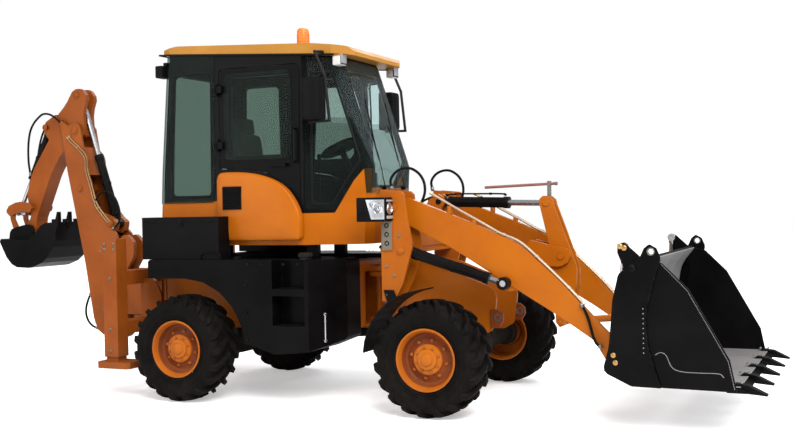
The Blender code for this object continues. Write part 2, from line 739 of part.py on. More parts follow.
def front_glass_mesh():
    region = plate([(1.095, 1.690, 0.03), (1.335, 1.690, 0.03), (1.500, 1.960, 0.05), (1.585, 2.060, 0),
                    (1.600, 1.830, 0), (1.800, 1.830, 0), (1.800, top_at(1.8) - 0.02, 0),
                    (1.095, top_at(1.095) - 0.02, 0)], -0.8, 0.8)
    return glazing(region)


def rear_glass_mesh():
    region = plate([(-0.600, 1.770, 0), (0.155, 1.770, 0.03), (0.155, top_at(0.155) - 0.02, 0),
                    (-0.600, top_at(-0.6) - 0.02, 0)], -0.8, 0.8)
    return glazing(region)


def door_mesh():
    """Right door with its window opening and handle."""
    skin = common(cut(cab_solid(0.0), cab_solid(-CAB_WALL, z_low=1.300, z_high=3.350)),
                  plate(door_rows(0.0), -1.0, 0.0))
    handle = box(0.760, 0.920, -0.690, -0.640, 2.080, 2.110)
    grab = [bar((1.000, -0.690, 2.110), (1.000, -0.690, 2.420), 0.012, 8),
            bar((1.000, -0.695, 2.120), (1.000, -0.630, 2.120), 0.012, 8),
            bar((1.000, -0.695, 2.410), (1.000, -0.620, 2.410), 0.012, 8)]
    x, y = DOOR_HINGE
    knuckles = []
    bores = []
    for z in DOOR_HINGE_Z:
        low, high = z - KNUCKLE_HALF, z + KNUCKLE_HALF
        knuckles.append(bar((x, -y, low), (x, -y, high), DOOR_PIN_R * 2.0))
        knuckles.append(box(x + 0.006, x + 0.062, -y - 0.010, -y + 0.048, low, high))
        bores.append(bar((x, -y, low - 0.1), (x, -y, high + 0.1), bore_radius(DOOR_PIN_R)))
    body = fuse(cut(skin, plate(WINDOWS["door"], -1.0, 0.0)), handle, *grab, *knuckles)
    return cut(body, *bores)


def door_glass_mesh():
    region = plate([(0.262, 2.150, 0.04), (0.965, 2.150, 0.04), (0.965, 2.940, 0.04), (0.262, 2.940, 0.04)],
                   -1.0, 0.0)
    return glazing(region)


def roof_mesh():
    """Roof cap, thin behind and thick in front, with its lamps, and mirrors on bent tubes."""
    x0, x1 = ROOF_X
    rows = [(x0, top_at(x0) + GAP, 0), (x1, top_at(x1) + GAP, 0), (x1, top_at(x1) + 0.070, 0.04),
            (x1 - 0.350, top_at(x1) + 0.115, 0.3), (x0 + 0.200, top_at(x0) + 0.060, 0.2),
            (x0, top_at(x0) + 0.030, 0.015)]
    y = ROOF_Y
    plan = [(x0, -y, 0.12), (x1 - 0.10, -y, 0.10), (x1, -y + 0.12, 0.12), (x1, y - 0.12, 0.12),
            (x1 - 0.10, y, 0.10), (x0, y, 0.12)]
    cap = common(plate(rows, -y - 0.02, y + 0.02), slab(plan, 2.9, 3.4))
    parts = []
    for s in (-1, 1):
        lamp_z = top_at(1.36) + 0.010
        parts.append(box(1.375, 1.450, *sorted((s * 0.500, s * 0.610)), lamp_z - 0.105, lamp_z))
        tube = 0.013
        path = [(1.300, 0.600, 3.070), (1.300, 0.800, 3.050), (1.390, 0.800, 2.840), (1.430, 0.800, 2.450),
                (1.230, 0.790, 2.450), (1.230, 0.790, 2.560)]
        for a, b in zip(path, path[1:]):
            start = Vector((a[0], s * a[1], a[2]))
            end = Vector((b[0], s * b[1], b[2]))
            over = (end - start).normalized() * 0.010
            parts.append(bar(start - over, end + over, tube, 6))
        parts.append(box(1.205, 1.235, *sorted((s * 0.700, s * 0.860)), 2.540, 2.820))
    x, y, z = BEACON
    parts.append(bar((x, y, z - 0.060), (x, y, z), 0.068, 10))
    return fuse(cap, *parts)


def beacon_mesh():
    x, y, z = BEACON
    z += GAP
    rows = [(z, 0.062), (z + 0.030, 0.062), (z + 0.032, 0.052), (z + 0.180, 0.046), (z + 0.205, 0.030)]
    return capped(rows, 10, lambda p: (x + p.x, y + p.y, p.z))


def seat_mesh():
    z = CAB_FLOOR[1] + GAP
    parts = [box(0.180, 0.520, -0.160, 0.160, z, z + 0.300),
             plate([(0.120, z + 0.290, 0.03), (0.640, z + 0.290, 0.03), (0.640, z + 0.400, 0.04),
                    (0.120, z + 0.420, 0.02)], -0.240, 0.240),
             plate([(0.080, z + 0.330, 0.03), (0.200, z + 0.330, 0.02), (0.110, z + 1.000, 0.04),
                    (0.000, z + 1.000, 0.04)], -0.230, 0.230)]
    return fuse(*parts)


# Rams

def ram(name, base, eye, y, sizes, barrel_parent, rod_parent):
    """Barrel and rod between two pins at (x, z); sizes are barrel and rod radius, barrel length,
    eye radius, eye width, pin radius and the length of rod in the barrel."""
    barrel_r, rod_r, length, eye_r, eye_width, pin_r, inside = sizes
    pin_out = pin_r if pin_r < 0.020 else 0.034
    start = Vector((base[0], y, base[1]))
    end = Vector((eye[0], y, eye[1]))
    along = (end - start).normalized()
    half = eye_width / 2.0 - SIDE_PLAY
    bore_r = rod_r + 0.0006
    neck = eye_r + 0.046
    barrel = fuse(bar(start + along * (neck - 0.010), start + along * length, barrel_r, RAM_STEPS),
                  bar(start + along * (eye_r * 0.6), start + along * neck, half * 0.8, RAM_STEPS),
                  bar(start + along * (length - 0.045), start + along * (length + 0.006), barrel_r + 0.006,
                      RAM_STEPS),
                  cross_pin(base, eye_r, y - half, y + half, RAM_STEPS),
                  cross_pin(base, pin_r, y - half - pin_out, y + half + pin_out))
    barrel = cut(barrel, bar(start + along * (neck + 0.010), end, bore_r, RAM_STEPS))
    inner = start + along * (length - inside)
    rod = fuse(bar(inner, end - along * (eye_r * 0.5), rod_r, RAM_STEPS),
               cross_pin(eye, eye_r, y - half, y + half, RAM_STEPS))
    part(f"{name}_barrel", barrel, "cast_metal", barrel_parent)
    part(f"{name}_rod", rod, "bright_rod", rod_parent)


def ram_empties(name, base, eye, y, parent):
    """Empties on the barrel's pin and on the rod's line."""
    barrel = empty(f"{name}_swing", (base[0], y, base[1]), parent)
    rod = empty(f"{name}_slide", (eye[0], y, eye[1]), barrel)
    return barrel, rod


RAM_STEPS = 10
# barrel radius, rod radius, barrel length, eye radius, eye width, pin radius, rod in the barrel at rest
LIFT_RAM = (0.044, 0.025, 0.790, 0.048, 0.070, 0.022, 0.600)
TILT_RAM = (0.048, 0.027, 0.640, 0.052, 0.072, 0.025, 0.270)
JAW_RAM = (0.030, 0.017, 0.370, 0.034, 0.050, 0.014, 0.120)
BOOM_RAM = (0.038, 0.026, 0.950, 0.042, 0.090, 0.024, 0.830)
DIPPER_RAM = (0.044, 0.026, 0.740, 0.046, 0.080, 0.024, 0.070)
HOE_RAM = (0.038, 0.022, 0.600, 0.042, 0.070, 0.020, 0.250)


# Loader

def arms_mesh():
    rows = [(1.890, 1.620, 0.08), (2.093, 1.521, 0.10), (2.435, 1.351, 0.3), (2.870, 1.088, 0.3),
            (3.370, 0.789, 0.3), (3.640, 0.610, 0.10), (3.740, 0.440, 0.08), (3.850, 0.415, 0.05),
            (3.930, 0.500, 0.06), (3.850, 0.590, 0.06), (3.723, 0.700, 0.2), (3.374, 1.069, 0.3),
            (3.029, 1.382, 0.4), (2.704, 1.524, 0.5), (2.351, 1.661, 0.5), (2.040, 1.780, 0.04),
            (1.900, 1.780, 0.06)]
    parts = []
    for s in (-1, 1):
        parts.append(plate(rows, *sorted((s * ARM_Y, s * (ARM_Y + ARM_PLATE)))))
        ends = (s * (TOWER_IN_Y - 0.010), s * (TOWER_OUT_Y + TOWER_PLATE + 0.010))
        parts.append(cross_pin(ARM_PIVOT, ARM_PIN_R, *sorted(ends)))
        ends = (s * (ARM_Y - 0.027), s * (ARM_Y + ARM_PLATE + 0.027))
        parts.append(cross_pin(BUCKET_PIN, THIN_PIN_R, *sorted(ends)))
        parts.append(plate([(LIFT_EYE[0] - 0.10, 1.02, 0.02), (LIFT_EYE[0] + 0.03, 0.99, 0.05),
                            (LIFT_EYE[0] + 0.16, 1.02, 0.02), (LIFT_EYE[0] + 0.05, 1.14, 0.05)],
                           *sorted((s * (ARM_Y + 0.010), s * (ARM_Y + ARM_PLATE - 0.010)))))
        ends = (s * (ARM_Y + ARM_PLATE - 0.010), s * (LIFT_Y - LIFT_RAM[4] / 2.0))
        parts.append(cross_pin(LIFT_EYE, 0.040, *sorted(ends)))
    half = ARM_Y + 0.010
    parts.append(plate([(2.915, 1.145, 0.02), (3.045, 1.145, 0.02), (3.045, 1.275, 0.02), (2.915, 1.275, 0.02)],
                       -half, half))
    bracket = [(2.950, 1.190, 0.02), (3.230, 1.165, 0.06), (3.330, 1.220, 0.05), (3.320, 1.320, 0.05),
               (3.170, 1.350, 0.03), (2.950, 1.400, 0.02)]
    for s in (-1, 1):
        parts.append(plate(bracket, *sorted((s * 0.072, s * 0.097))))
    body = fuse(parts[0], *parts[1:])
    return cut(body, cross_bore(CRANK_PIVOT, 0.030, -0.2, 0.2))


def crank_mesh():
    """Bell crank: two plates joined round the pivot, open at both ends for the rod and the link."""
    top, mid, low = Vector(CRANK_TOP), Vector(CRANK_PIVOT), Vector(CRANK_LOW)
    rows = [(top.x - 0.062, top.y + 0.010, 0.03), (top.x - 0.050, top.y + 0.062, 0.03),
            (top.x + 0.050, top.y + 0.062, 0.04), (top.x + 0.065, top.y - 0.010, 0.05),
            (mid.x + 0.130, mid.y - 0.090, 0.10), (mid.x + 0.126, mid.y - 0.245, 0.10),
            (low.x + 0.055, low.y, 0.05), (low.x + 0.020, low.y - 0.055, 0.03),
            (low.x - 0.040, low.y - 0.040, 0.04), (mid.x - 0.060, mid.y - 0.240, 0.20),
            (mid.x - 0.085, mid.y, 0.10)]
    parts = [plate(rows, 0.037, 0.064), plate(rows, -0.064, -0.037)]
    parts.append(cross_pin(CRANK_PIVOT, 0.055, -0.045, 0.045, 16))
    parts.append(cross_pin(CRANK_PIVOT, 0.030, -0.105, 0.105))
    for at in (CRANK_TOP, CRANK_LOW):
        for s in (-1, 1):
            parts.append(cross_pin(at, 0.030, *sorted((s * 0.040, s * 0.071)), 12))
    body = fuse(parts[0], *parts[1:])
    return cut(body, cross_bore(CRANK_LOW, 0.022, -0.1, 0.1))


def link_mesh():
    a, b = CRANK_LOW, LINK_PIN
    half = 0.036 - SIDE_PLAY
    parts = [bar((a[0] + 0.02, 0, a[1]), (b[0] - 0.02, 0, b[1]), 0.030, 12),
             cross_pin(a, 0.045, -half, half), cross_pin(b, 0.034, -half, half),
             cross_pin(a, 0.022, -0.068, 0.068)]
    return fuse(*parts)


def moldboard_mesh():
    """Rear half of the bucket: blade, end plates with ears, hangers for the arms and link."""
    t = BUCKET_PLATE
    end = [(3.820, 0.450, 0.05), (4.034, 0.350, 0.02), (4.246, 0.346, 0), (4.156, 0.657, 0.3),
           (4.145, 0.899, 0.3), (4.215, 1.150, 0.1), (4.262, 1.290, 0.04), (4.215, 1.400, 0.045),
           (4.150, 1.390, 0.045), (4.110, 1.300, 0.04), (3.950, 1.180, 0.04), (3.903, 0.983, 0.1),
           (3.872, 0.640, 0.2)]
    blade_back = [(4.150, 1.300), (4.030, 1.130), (3.995, 0.900), (3.995, 0.700), (4.030, 0.520),
                  (4.105, 0.400), (4.235, 0.350)]
    blade_front = [(4.240, 0.368), (4.120, 0.418), (4.050, 0.530), (4.017, 0.705), (4.017, 0.895),
                   (4.050, 1.118), (4.165, 1.285)]
    blade = [(x, z, 0) for x, z in blade_back + blade_front]
    narrow = BUCKET_Y - t - RUN
    parts = [plate(blade, -narrow, narrow)]
    out = BUCKET_Y + RUN
    for s in (-1, 1):
        parts.append(plate(end, *sorted((s * out, s * (out + t)))))
        # spacer that joins the end plate to the blade below the jaw's arm
        parts.append(plate([(3.990, 0.620, 0), (4.010, 0.620, 0), (4.010, 0.880, 0), (3.990, 0.880, 0)],
                           *sorted((s * (narrow - 0.02), s * (out + 0.010)))))
        parts.append(cross_pin(JAW_PIN, THIN_PIN_R, *sorted((s * (narrow - 0.002), s * (out + 0.010)))))
        parts.append(plate([(4.020, 1.170, 0.01), (4.060, 1.150, 0.01), (4.110, 1.230, 0.03),
                            (4.050, 1.268, 0.03), (4.000, 1.230, 0.03)],
                           *sorted((s * (narrow - 0.040), s * (narrow - 0.0005)))))
        for near in (ARM_Y - 0.028, ARM_Y + ARM_PLATE + SIDE_PLAY):
            ear = [(3.790, 0.450, 0.05), (3.900, 0.430, 0.05), (4.060, 0.480, 0), (4.005, 0.800, 0),
                   (3.900, 0.720, 0.05), (3.790, 0.560, 0.05)]
            parts.append(plate(ear, *sorted((s * near, s * (near + 0.027)))))
        ear = [(LINK_PIN[0], 0.702, 0.03), (4.006, 0.640, 0), (4.006, 0.860, 0), (LINK_PIN[0], 0.798, 0.03),
               (3.815, LINK_PIN[1], 0.02)]
        parts.append(plate(ear, *sorted((s * 0.037, s * 0.062))))
        for near, far in ((-0.040, -0.0255), (0.0255, 0.0375)):
            ear = [(JAW_BASE[0] - 0.035, JAW_BASE[1] - 0.03, 0.02), (4.012, JAW_BASE[1] - 0.06, 0),
                   (4.007, JAW_BASE[1] + 0.05, 0), (JAW_BASE[0] - 0.030, JAW_BASE[1] + 0.03, 0.02)]
            parts.append(plate(ear, *sorted((s * (JAW_RAM_Y + near), s * (JAW_RAM_Y + far)))))
    body = fuse(parts[0], *parts[1:])
    bores = [cross_bore(BUCKET_PIN, THIN_PIN_R, -0.8, 0.8)]
    for s in (-1, 1):
        bores.append(cross_bore(JAW_BASE, 0.014, s * JAW_RAM_Y - 0.045, s * JAW_RAM_Y + 0.0382))
        bores.append(cross_pin((4.191, 1.343), 0.022, *sorted((s * 1.04, s * 1.10)), 12))
    return cut(body, *bores)


def jaw_mesh():
    """Front half of the bucket: side plates with their arms, floor, lip and teeth."""
    t = BUCKET_PLATE
    seam = 0.004
    side = [(4.230, 0.346, 0), (4.778, 0.340, 0), (4.733, 0.564, 0), (4.449, 1.072, 0), (4.262, 1.258, 0.03),
            (4.120, 1.290, 0.05), (4.000, 1.400, 0.03), (3.940, 1.400, 0.03), (3.940, 1.330, 0.03),
            (3.990, 1.210, 0.04), (4.060, 1.150, 0.04), (4.130, 1.120, 0.03), (4.090 + seam, 0.899, 0.3),
            (4.100 + seam, 0.657, 0.3), (4.150, 0.420, 0.02)]
    parts = []
    for s in (-1, 1):
        parts.append(plate(side, *sorted((s * (BUCKET_Y - t), s * BUCKET_Y))))
        parts.append(cross_pin(JAW_EYE, 0.030, *sorted((s * (JAW_RAM_Y + 0.025), s * (BUCKET_Y - 0.010)))))
    inner = BUCKET_Y - t + 0.005
    floor = [(4.262, 0.346, 0), (4.790, 0.338, 0), (4.850, 0.340, 0), (4.790, 0.362, 0), (4.262, 0.372, 0)]
    parts.append(plate(floor, -inner, inner))
    for k in range(TOOTH_COUNT):
        y = -0.960 + 1.920 * k / (TOOTH_COUNT - 1)
        tooth = [(4.700, 0.350, 0), (4.760, 0.395, 0), (4.850, 0.385, 0), (4.980, 0.322, 0), (4.980, 0.314, 0),
                 (4.850, 0.325, 0), (4.700, 0.325, 0)]
        parts.append(plate(tooth, y - 0.038, y + 0.038))
    body = fuse(parts[0], *parts[1:])
    return cut(body, *[cross_bore(JAW_PIN, THIN_PIN_R, s * 1.0, s * 1.1) for s in (-1, 1)])


# Hoe

def hoe_frame_mesh():
    hx, hy = LEG_BOX
    parts = []
    for s in (-1, 1):
        y = s * LEG_Y
        parts.append(box(LEG_X - hx, LEG_X + hx, y - hy, y + hy, LEG_BOTTOM, LEG_TOP))
    x0, x1 = LEG_X - hx + 0.005, LEG_X + hx - 0.005
    half = LEG_Y - hy + 0.010
    parts.append(box(x0, x1, -half, half, 0.560, 0.680))
    parts.append(box(x0, x1, -half, half, 1.020, 1.150))
    front = -0.705 - GAP
    plate_rows = [(-0.860, 0.565, 0), (front, 0.565, 0), (front, 1.145, 0), (-0.860, 1.145, 0)]
    parts.append(plate(plate_rows, -0.330, 0.330))
    for s in (-1, 1):
        rows = [(-0.760, 0.680, 0.02), (-0.560, 0.700, 0.05), (-0.520, 0.900, 0.05), (-0.600, 1.060, 0.03),
                (-0.760, 1.060, 0)]
        parts.append(plate(rows, *sorted((s * 0.560, s * 0.585))))
    end = SWING_X - 0.075
    lug = [(-0.800, -0.200, 0), (-1.050, -0.110, 0.05), (end, -0.075, 0.05), (end, 0.075, 0.05),
           (-1.050, 0.110, 0.05), (-0.800, 0.200, 0)]
    parts.append(slab(lug, 0.600, 0.650))
    parts.append(slab(lug, 1.060, 1.110))
    body = fuse(parts[0], *parts[1:])
    cutters = []
    for s in (-1, 1):
        y = s * LEG_Y
        hx2, hy2 = hx - LEG_WALL, hy - LEG_WALL
        cutters.append(box(LEG_X - hx2, LEG_X + hx2, y - hy2, y + hy2, LEG_BOTTOM - 0.1, LEG_TOP - 0.015))
    cutters.append(bar((SWING_X, 0, 0.5), (SWING_X, 0, 1.3), bore_radius(0.035)))
    return cut(body, *cutters)


def leg_mesh():
    """Right stabilizer leg with its pad."""
    play = LEG_WALL + LEG_PLAY
    hx, hy = LEG_BOX[0] - play, LEG_BOX[1] - play
    parts = [box(LEG_X - hx, LEG_X + hx, -LEG_Y - hy, -LEG_Y + hy, PAD_TOP - 0.010, 1.300)]
    pad = [(-0.930, -LEG_Y - 0.130, 0.03), (-0.560, -LEG_Y - 0.130, 0.03), (-0.560, -LEG_Y + 0.130, 0.03),
           (-0.930, -LEG_Y + 0.130, 0.03)]
    parts.append(slab(pad, PAD_BOTTOM, PAD_TOP))
    return fuse(*parts)


def post_mesh():
    """Swing post between the frame's lugs, with the boom's foot and the boom ram's base."""
    rows = [(SWING_X + 0.060, 0.656, 0), (SWING_X + 0.060, 1.054, 0), (-1.302, 1.054, 0),
            (-1.302, 1.125, 0), (-1.225, 1.240, 0.08), (-1.215, 1.380, 0.05), (-1.300, 1.480, 0.06),
            (-1.390, 1.440, 0.05), (-1.385, 1.250, 0.15), (-1.385, 1.000, 0.15), (-1.440, 0.620, 0.10),
            (-1.550, 0.520, 0.06), (-1.530, 0.400, 0.06), (-1.420, 0.400, 0.05), (-1.315, 0.560, 0.08),
            (-1.315, 0.656, 0)]
    parts = []
    for s in (-1, 1):
        parts.append(plate(rows, *sorted((s * 0.047, s * 0.094))))
    parts.append(bar((SWING_X, 0, 0.656), (SWING_X, 0, 1.054), 0.070, 14))
    parts.append(cross_pin(BOOM_FOOT, 0.060, -0.060, 0.060, 14))
    parts.append(bar((SWING_X, 0, 0.590), (SWING_X, 0, 1.125), 0.035))
    parts.append(box(-1.300, -1.200, -0.060, 0.060, 0.660, 0.760))
    body = fuse(parts[0], *parts[1:])
    return cut(body, cross_bore(BOOM_FOOT, 0.034, -0.2, 0.2), cross_pin(BOOM_RAM_EYE, 0.070, -0.045, 0.045, 14))


def boom_mesh():
    side = [(-1.560, 0.440, 0.08), (-1.500, 0.385, 0.06), (-1.400, 0.420, 0.08), (-1.395, 0.560, 0.10),
            (-1.395, 1.467, 0.05), (-1.470, 1.539, 0.05), (-1.655, 1.778, 0.2), (-1.761, 2.142, 0.3),
            (-1.830, 2.487, 0.06), (-1.850, 2.610, 0.05), (-1.930, 2.640, 0.06), (-2.000, 2.590, 0.06),
            (-2.105, 2.690, 0.03), (-2.115, 2.697, 0.02), (-2.025, 2.150, 0.4), (-1.817, 1.189, 0.4),
            (-1.717, 0.588, 0.2), (-1.650, 0.450, 0.08)]
    t = BOOM_PLATE
    y = BOOM_Y
    parts = [plate(side, -y, -y + t), plate(side, y - t, y)]
    back = [(-1.700, 0.560, 0), (-1.817, 1.189, 0), (-2.025, 2.150, 0), (-2.050, 2.330, 0),
            (-2.022, 2.333, 0), (-1.998, 2.155, 0), (-1.790, 1.190, 0), (-1.673, 0.560, 0)]
    parts.append(plate(back, -y + 0.005, y - 0.005))
    web = [(-1.735, 2.090, 0), (-1.765, 2.090, 0), (-1.845, 2.380, 0), (-1.815, 2.380, 0)]
    parts.append(plate(web, -y + 0.005, y - 0.005))
    foot = cross_pin(BOOM_FOOT, 0.034, -y + 0.005, y - 0.005)
    parts.append(foot)
    parts.append(cross_pin(DIPPER_PIN, 0.034, -y + 0.005, y - 0.005))
    for s in (-1, 1):
        ear = [(-1.600, 1.500, 0.02), (-1.450, 1.480, 0.03), (-1.420, 1.600, 0.05), (-1.500, 1.655, 0.05),
               (-1.600, 1.690, 0)]
        parts.append(plate(ear, *sorted((s * 0.0475, s * 0.110))))
    for s in (-1, 1):
        parts.append(cross_pin(BOOM_RAM_BASE, 0.050, *sorted((s * BOOM_RAM[4] / 2.0, s * 0.110))))
    body = fuse(parts[0], *parts[1:])
    return cut(body, cross_bore(DIPPER_RAM_BASE, 0.024, -0.1, 0.1), cross_bore(BOOM_RAM_BASE, 0.024, -0.1, 0.1))


def dipper_mesh():
    rows = [(-1.782, 2.899, 0.05), (-1.850, 2.990, 0.05), (-1.960, 2.990, 0.06), (-2.060, 2.840, 0.3),
            (-2.172, 2.733, 0.1), (-2.301, 2.476, 0.2), (-2.560, 2.114, 0.4), (-2.628, 1.860, 0.1),
            (-2.578, 1.785, 0.03), (-2.572, 1.660, 0.04), (-2.648, 1.570, 0.03), (-2.640, 1.470, 0.04), (-2.560, 1.440, 0.04), (-2.500, 1.520, 0.05), (-2.500, 1.640, 0.1),
            (-2.286, 2.106, 0.4), (-2.116, 2.363, 0.4), (-1.935, 2.480, 0.05), (-1.840, 2.500, 0.06),
            (-1.830, 2.600, 0.06), (-1.839, 2.747, 0.2)]
    body = plate(rows, -DIPPER_Y, DIPPER_Y)
    slot = [(-1.700, 2.400, 0), (-1.700, 3.100, 0), (-2.020, 3.100, 0), (-2.020, 2.850, 0), (-1.905, 2.740, 0),
            (-1.874, 2.660, 0), (-1.862, 2.600, 0), (-1.850, 2.400, 0)]
    parts = []
    for s in (-1, 1):
        ear = [(HOE_RAM_BASE[0] - 0.046, HOE_RAM_BASE[1] - 0.036, 0.03), (-2.280, 2.420, 0),
               (-2.180, 2.600, 0), (-2.230, 2.740, 0), (HOE_RAM_BASE[0] - 0.020, HOE_RAM_BASE[1] + 0.055, 0.04)]
        parts.append(plate(ear, *sorted((s * 0.0355, s * 0.060))))
    body = cut(body, plate(slot, -DIPPER_RAM[4] / 2.0, DIPPER_RAM[4] / 2.0))
    body = fuse(body, *parts)
    return cut(body, cross_bore(DIPPER_PIN, 0.034, -0.2, 0.2), cross_bore(ROCKER_PIN, 0.024, -0.2, 0.2),
               cross_bore(HOE_BUCKET_PIN, 0.026, -0.2, 0.2), cross_bore(HOE_RAM_BASE, 0.020, -0.1, 0.1))


def rocker_mesh():
    """Rocker: two curved plates outside the dipper, joined by their pin."""
    a, b = Vector(ROCKER_PIN), Vector(ROCKER_EYE)
    mid = (a + b) / 2.0 + Vector((-0.010, 0.050))
    rows = [(a.x + 0.050, a.y - 0.020, 0.03), (a.x + 0.040, a.y + 0.050, 0.04), (mid.x, mid.y + 0.045, 0.15),
            (b.x - 0.040, b.y + 0.055, 0.05), (b.x - 0.045, b.y - 0.045, 0.04), (b.x + 0.035, b.y - 0.040, 0.04),
            (mid.x, mid.y - 0.040, 0.15), (a.x, a.y - 0.050, 0.03)]
    parts = []
    for s in (-1, 1):
        parts.append(plate(rows, *sorted((s * 0.135, s * 0.160))))
        parts.append(cross_pin(ROCKER_EYE, 0.024, *sorted((s * HOE_RAM[4] / 2.0, s * 0.150))))
    parts.append(cross_pin(ROCKER_PIN, 0.024, -0.150, 0.150))
    return fuse(parts[0], *parts[1:])


def hoe_link_mesh():
    """Curved link from the rocker's eye to the bucket: two plates joined across the lower end."""
    a, b = Vector(ROCKER_EYE), Vector(HOE_LINK_PIN)
    rows = [(a.x + 0.038, a.y + 0.028, 0.02), (a.x - 0.030, a.y + 0.042, 0.02), (a.x - 0.052, a.y - 0.060, 0.06),
            (b.x - 0.038, b.y + 0.030, 0), (b.x - 0.030, b.y - 0.028, 0.01), (b.x + 0.006, b.y - 0.040, 0.01),
            (b.x + 0.036, b.y - 0.010, 0.01), (b.x + 0.024, b.y + 0.070, 0.04), (a.x + 0.014, a.y - 0.070, 0.03)]
    parts = []
    for s in (-1, 1):
        parts.append(plate(rows, *sorted((s * 0.0875, s * 0.1005))))
    parts.append(cross_pin(HOE_LINK_PIN, 0.030, -0.0985, 0.0985, 14))
    body = fuse(parts[0], *parts[1:])
    return cut(body, cross_bore(ROCKER_EYE, 0.024, -0.2, 0.2))


def hoe_bucket_mesh():
    """Hoe bucket: bent shell with side plates, top plate with ears, and teeth on the lip."""
    y = HOE_BUCKET_Y
    wall_y = y - 0.018
    side = [(-2.050, 1.610, 0), (-2.085, 1.380, 0.15), (-2.220, 1.200, 0.15), (-2.420, 1.130, 0.15),
            (-2.640, 1.140, 0.10), (-2.740, 1.240, 0.10), (-2.850, 1.440, 0.02), (-2.500, 1.420, 0.02),
            (-2.400, 1.440, 0.10), (-2.240, 1.600, 0.10)]
    room = [(-2.068, 1.700, 0), (-2.104, 1.386, 0.14), (-2.231, 1.217, 0.14), (-2.423, 1.149, 0.14),
            (-2.620, 1.159, 0.09), (-2.700, 1.250, 0.09), (-2.742, 1.400, 0.02), (-2.500, 1.398, 0.02),
            (-2.440, 1.480, 0), (-2.400, 1.750, 0)]
    # room for the link when the bucket is emptied
    notch = [(-2.920, 1.330, 0), (-2.920, 1.500, 0), (-2.765, 1.500, 0), (-2.765, 1.426, 0), (-2.800, 1.370, 0),
             (-2.835, 1.330, 0)]
    body = cut(plate(side, -y, y), plate(room, -wall_y, wall_y), plate(notch, -0.1034, 0.1034))
    ear = [(-2.845, 1.425, 0), (-2.825, 1.530, 0.04), (-2.740, 1.560, 0.04), (-2.580, 1.590, 0.05),
           (-2.510, 1.560, 0.04), (-2.500, 1.405, 0)]
    parts = []
    for s in (-1, 1):
        parts.append(plate(ear, *sorted((s * 0.1035, s * 0.130))))
    parts.append(cross_pin(HOE_BUCKET_PIN, 0.026, -0.120, 0.120))
    for k in range(HOE_TOOTH_COUNT):
        at = -y + 0.035 + (2.0 * y - 0.070) * k / (HOE_TOOTH_COUNT - 1)
        tooth = [(-2.072, 1.540, 0), (-2.085, 1.610, 0), (-2.052, 1.715, 0), (-2.044, 1.715, 0),
                 (-2.040, 1.610, 0), (-2.050, 1.540, 0)]
        parts.append(plate(tooth, at - 0.026, at + 0.026))
    return fuse(body, *parts)


def clean_scene():
    for item in list(bpy.data.objects):
        bpy.data.objects.remove(item)


def pair(name, mesh, finish_name, parent):
    """The right piece as modelled, and the left one as its mirror image."""
    part(f"{name}_left", mirrored(mesh), finish_name, parent)
    part(f"{name}_right", mesh, finish_name, parent)


def rear_half(machine):
    part("rear_frame", rear_frame_mesh(), "orange_paint", machine)
    part("engine_block", box(-0.450, 0.720, -0.250, 0.250, ENGINE_BOTTOM, ENGINE_BOTTOM + 0.480), "cast_metal", machine)
    part("rear_axle", axle_mesh(0.0), "cast_metal", machine)
    pair("side_tank", tank_mesh(), "black_paint", machine)
    pair("side_box", side_box_mesh(), "black_paint", machine)
    part("cab_frame", cab_mesh(), "orange_paint", machine)
    part("front_glass", front_glass_mesh(), "tinted_glass", machine)
    part("rear_glass", rear_glass_mesh(), "tinted_glass", machine)
    part("roof", roof_mesh(), "roof_orange", machine)
    part("beacon", beacon_mesh(), "amber", machine)
    part("seat", seat_mesh(), "seat_cover", machine)
    part("hoe_frame", hoe_frame_mesh(), "orange_paint", machine)
    door, glass, leg = door_mesh(), door_glass_mesh(), leg_mesh()
    for hand, out in (("right", -1), ("left", 1)):
        hinge = empty(f"door_{hand}_hinge", (DOOR_HINGE[0], out * DOOR_HINGE[1], 2.5), machine)
        slide = empty(f"leg_{hand}_slide", (LEG_X, out * LEG_Y, PAD_BOTTOM), machine)
        shapes = [mesh.copy() if out < 0 else mirrored(mesh) for mesh in (door, glass, leg)]
        part(f"door_{hand}", shapes[0], "orange_paint", hinge)
        part(f"door_glass_{hand}", shapes[1], "tinted_glass", hinge)
        part(f"leg_{hand}", shapes[2], "orange_paint", slide)


def front_half(front):
    part("front_frame", front_frame_mesh(), "orange_paint", front)
    part("front_axle", axle_mesh(WHEELBASE), "cast_metal", front)
    pair("fender", fender_mesh(), "black_paint", front)


def loader(front):
    lift = empty("lift", (ARM_PIVOT[0], 0, ARM_PIVOT[1]), front)
    part("loader_arms", arms_mesh(), "orange_paint", lift)
    crank = empty("crank", (CRANK_PIVOT[0], 0, CRANK_PIVOT[1]), lift)
    part("bell_crank", crank_mesh(), "dark_orange", crank)
    link = empty("tilt_link_swing", (CRANK_LOW[0], 0, CRANK_LOW[1]), crank)
    part("tilt_link", link_mesh(), "cast_metal", link)
    ram("tilt_ram", TILT_BASE, CRANK_TOP, 0.0, TILT_RAM, *ram_empties("tilt_ram", TILT_BASE, CRANK_TOP, 0, front))
    bucket = empty("bucket_tilt", (BUCKET_PIN[0], 0, BUCKET_PIN[1]), lift)
    part("moldboard", moldboard_mesh(), "black_paint", bucket)
    jaw = empty("jaw_hinge", (JAW_PIN[0], 0, JAW_PIN[1]), bucket)
    part("jaw", jaw_mesh(), "black_paint", jaw)
    for hand, out in (("right", -1), ("left", 1)):
        name, y = f"lift_ram_{hand}", out * LIFT_Y
        ram(name, LIFT_BASE, LIFT_EYE, y, LIFT_RAM, *ram_empties(name, LIFT_BASE, LIFT_EYE, y, front))
        name, y = f"jaw_ram_{hand}", out * JAW_RAM_Y
        ram(name, JAW_BASE, JAW_EYE, y, JAW_RAM, *ram_empties(name, JAW_BASE, JAW_EYE, y, bucket))


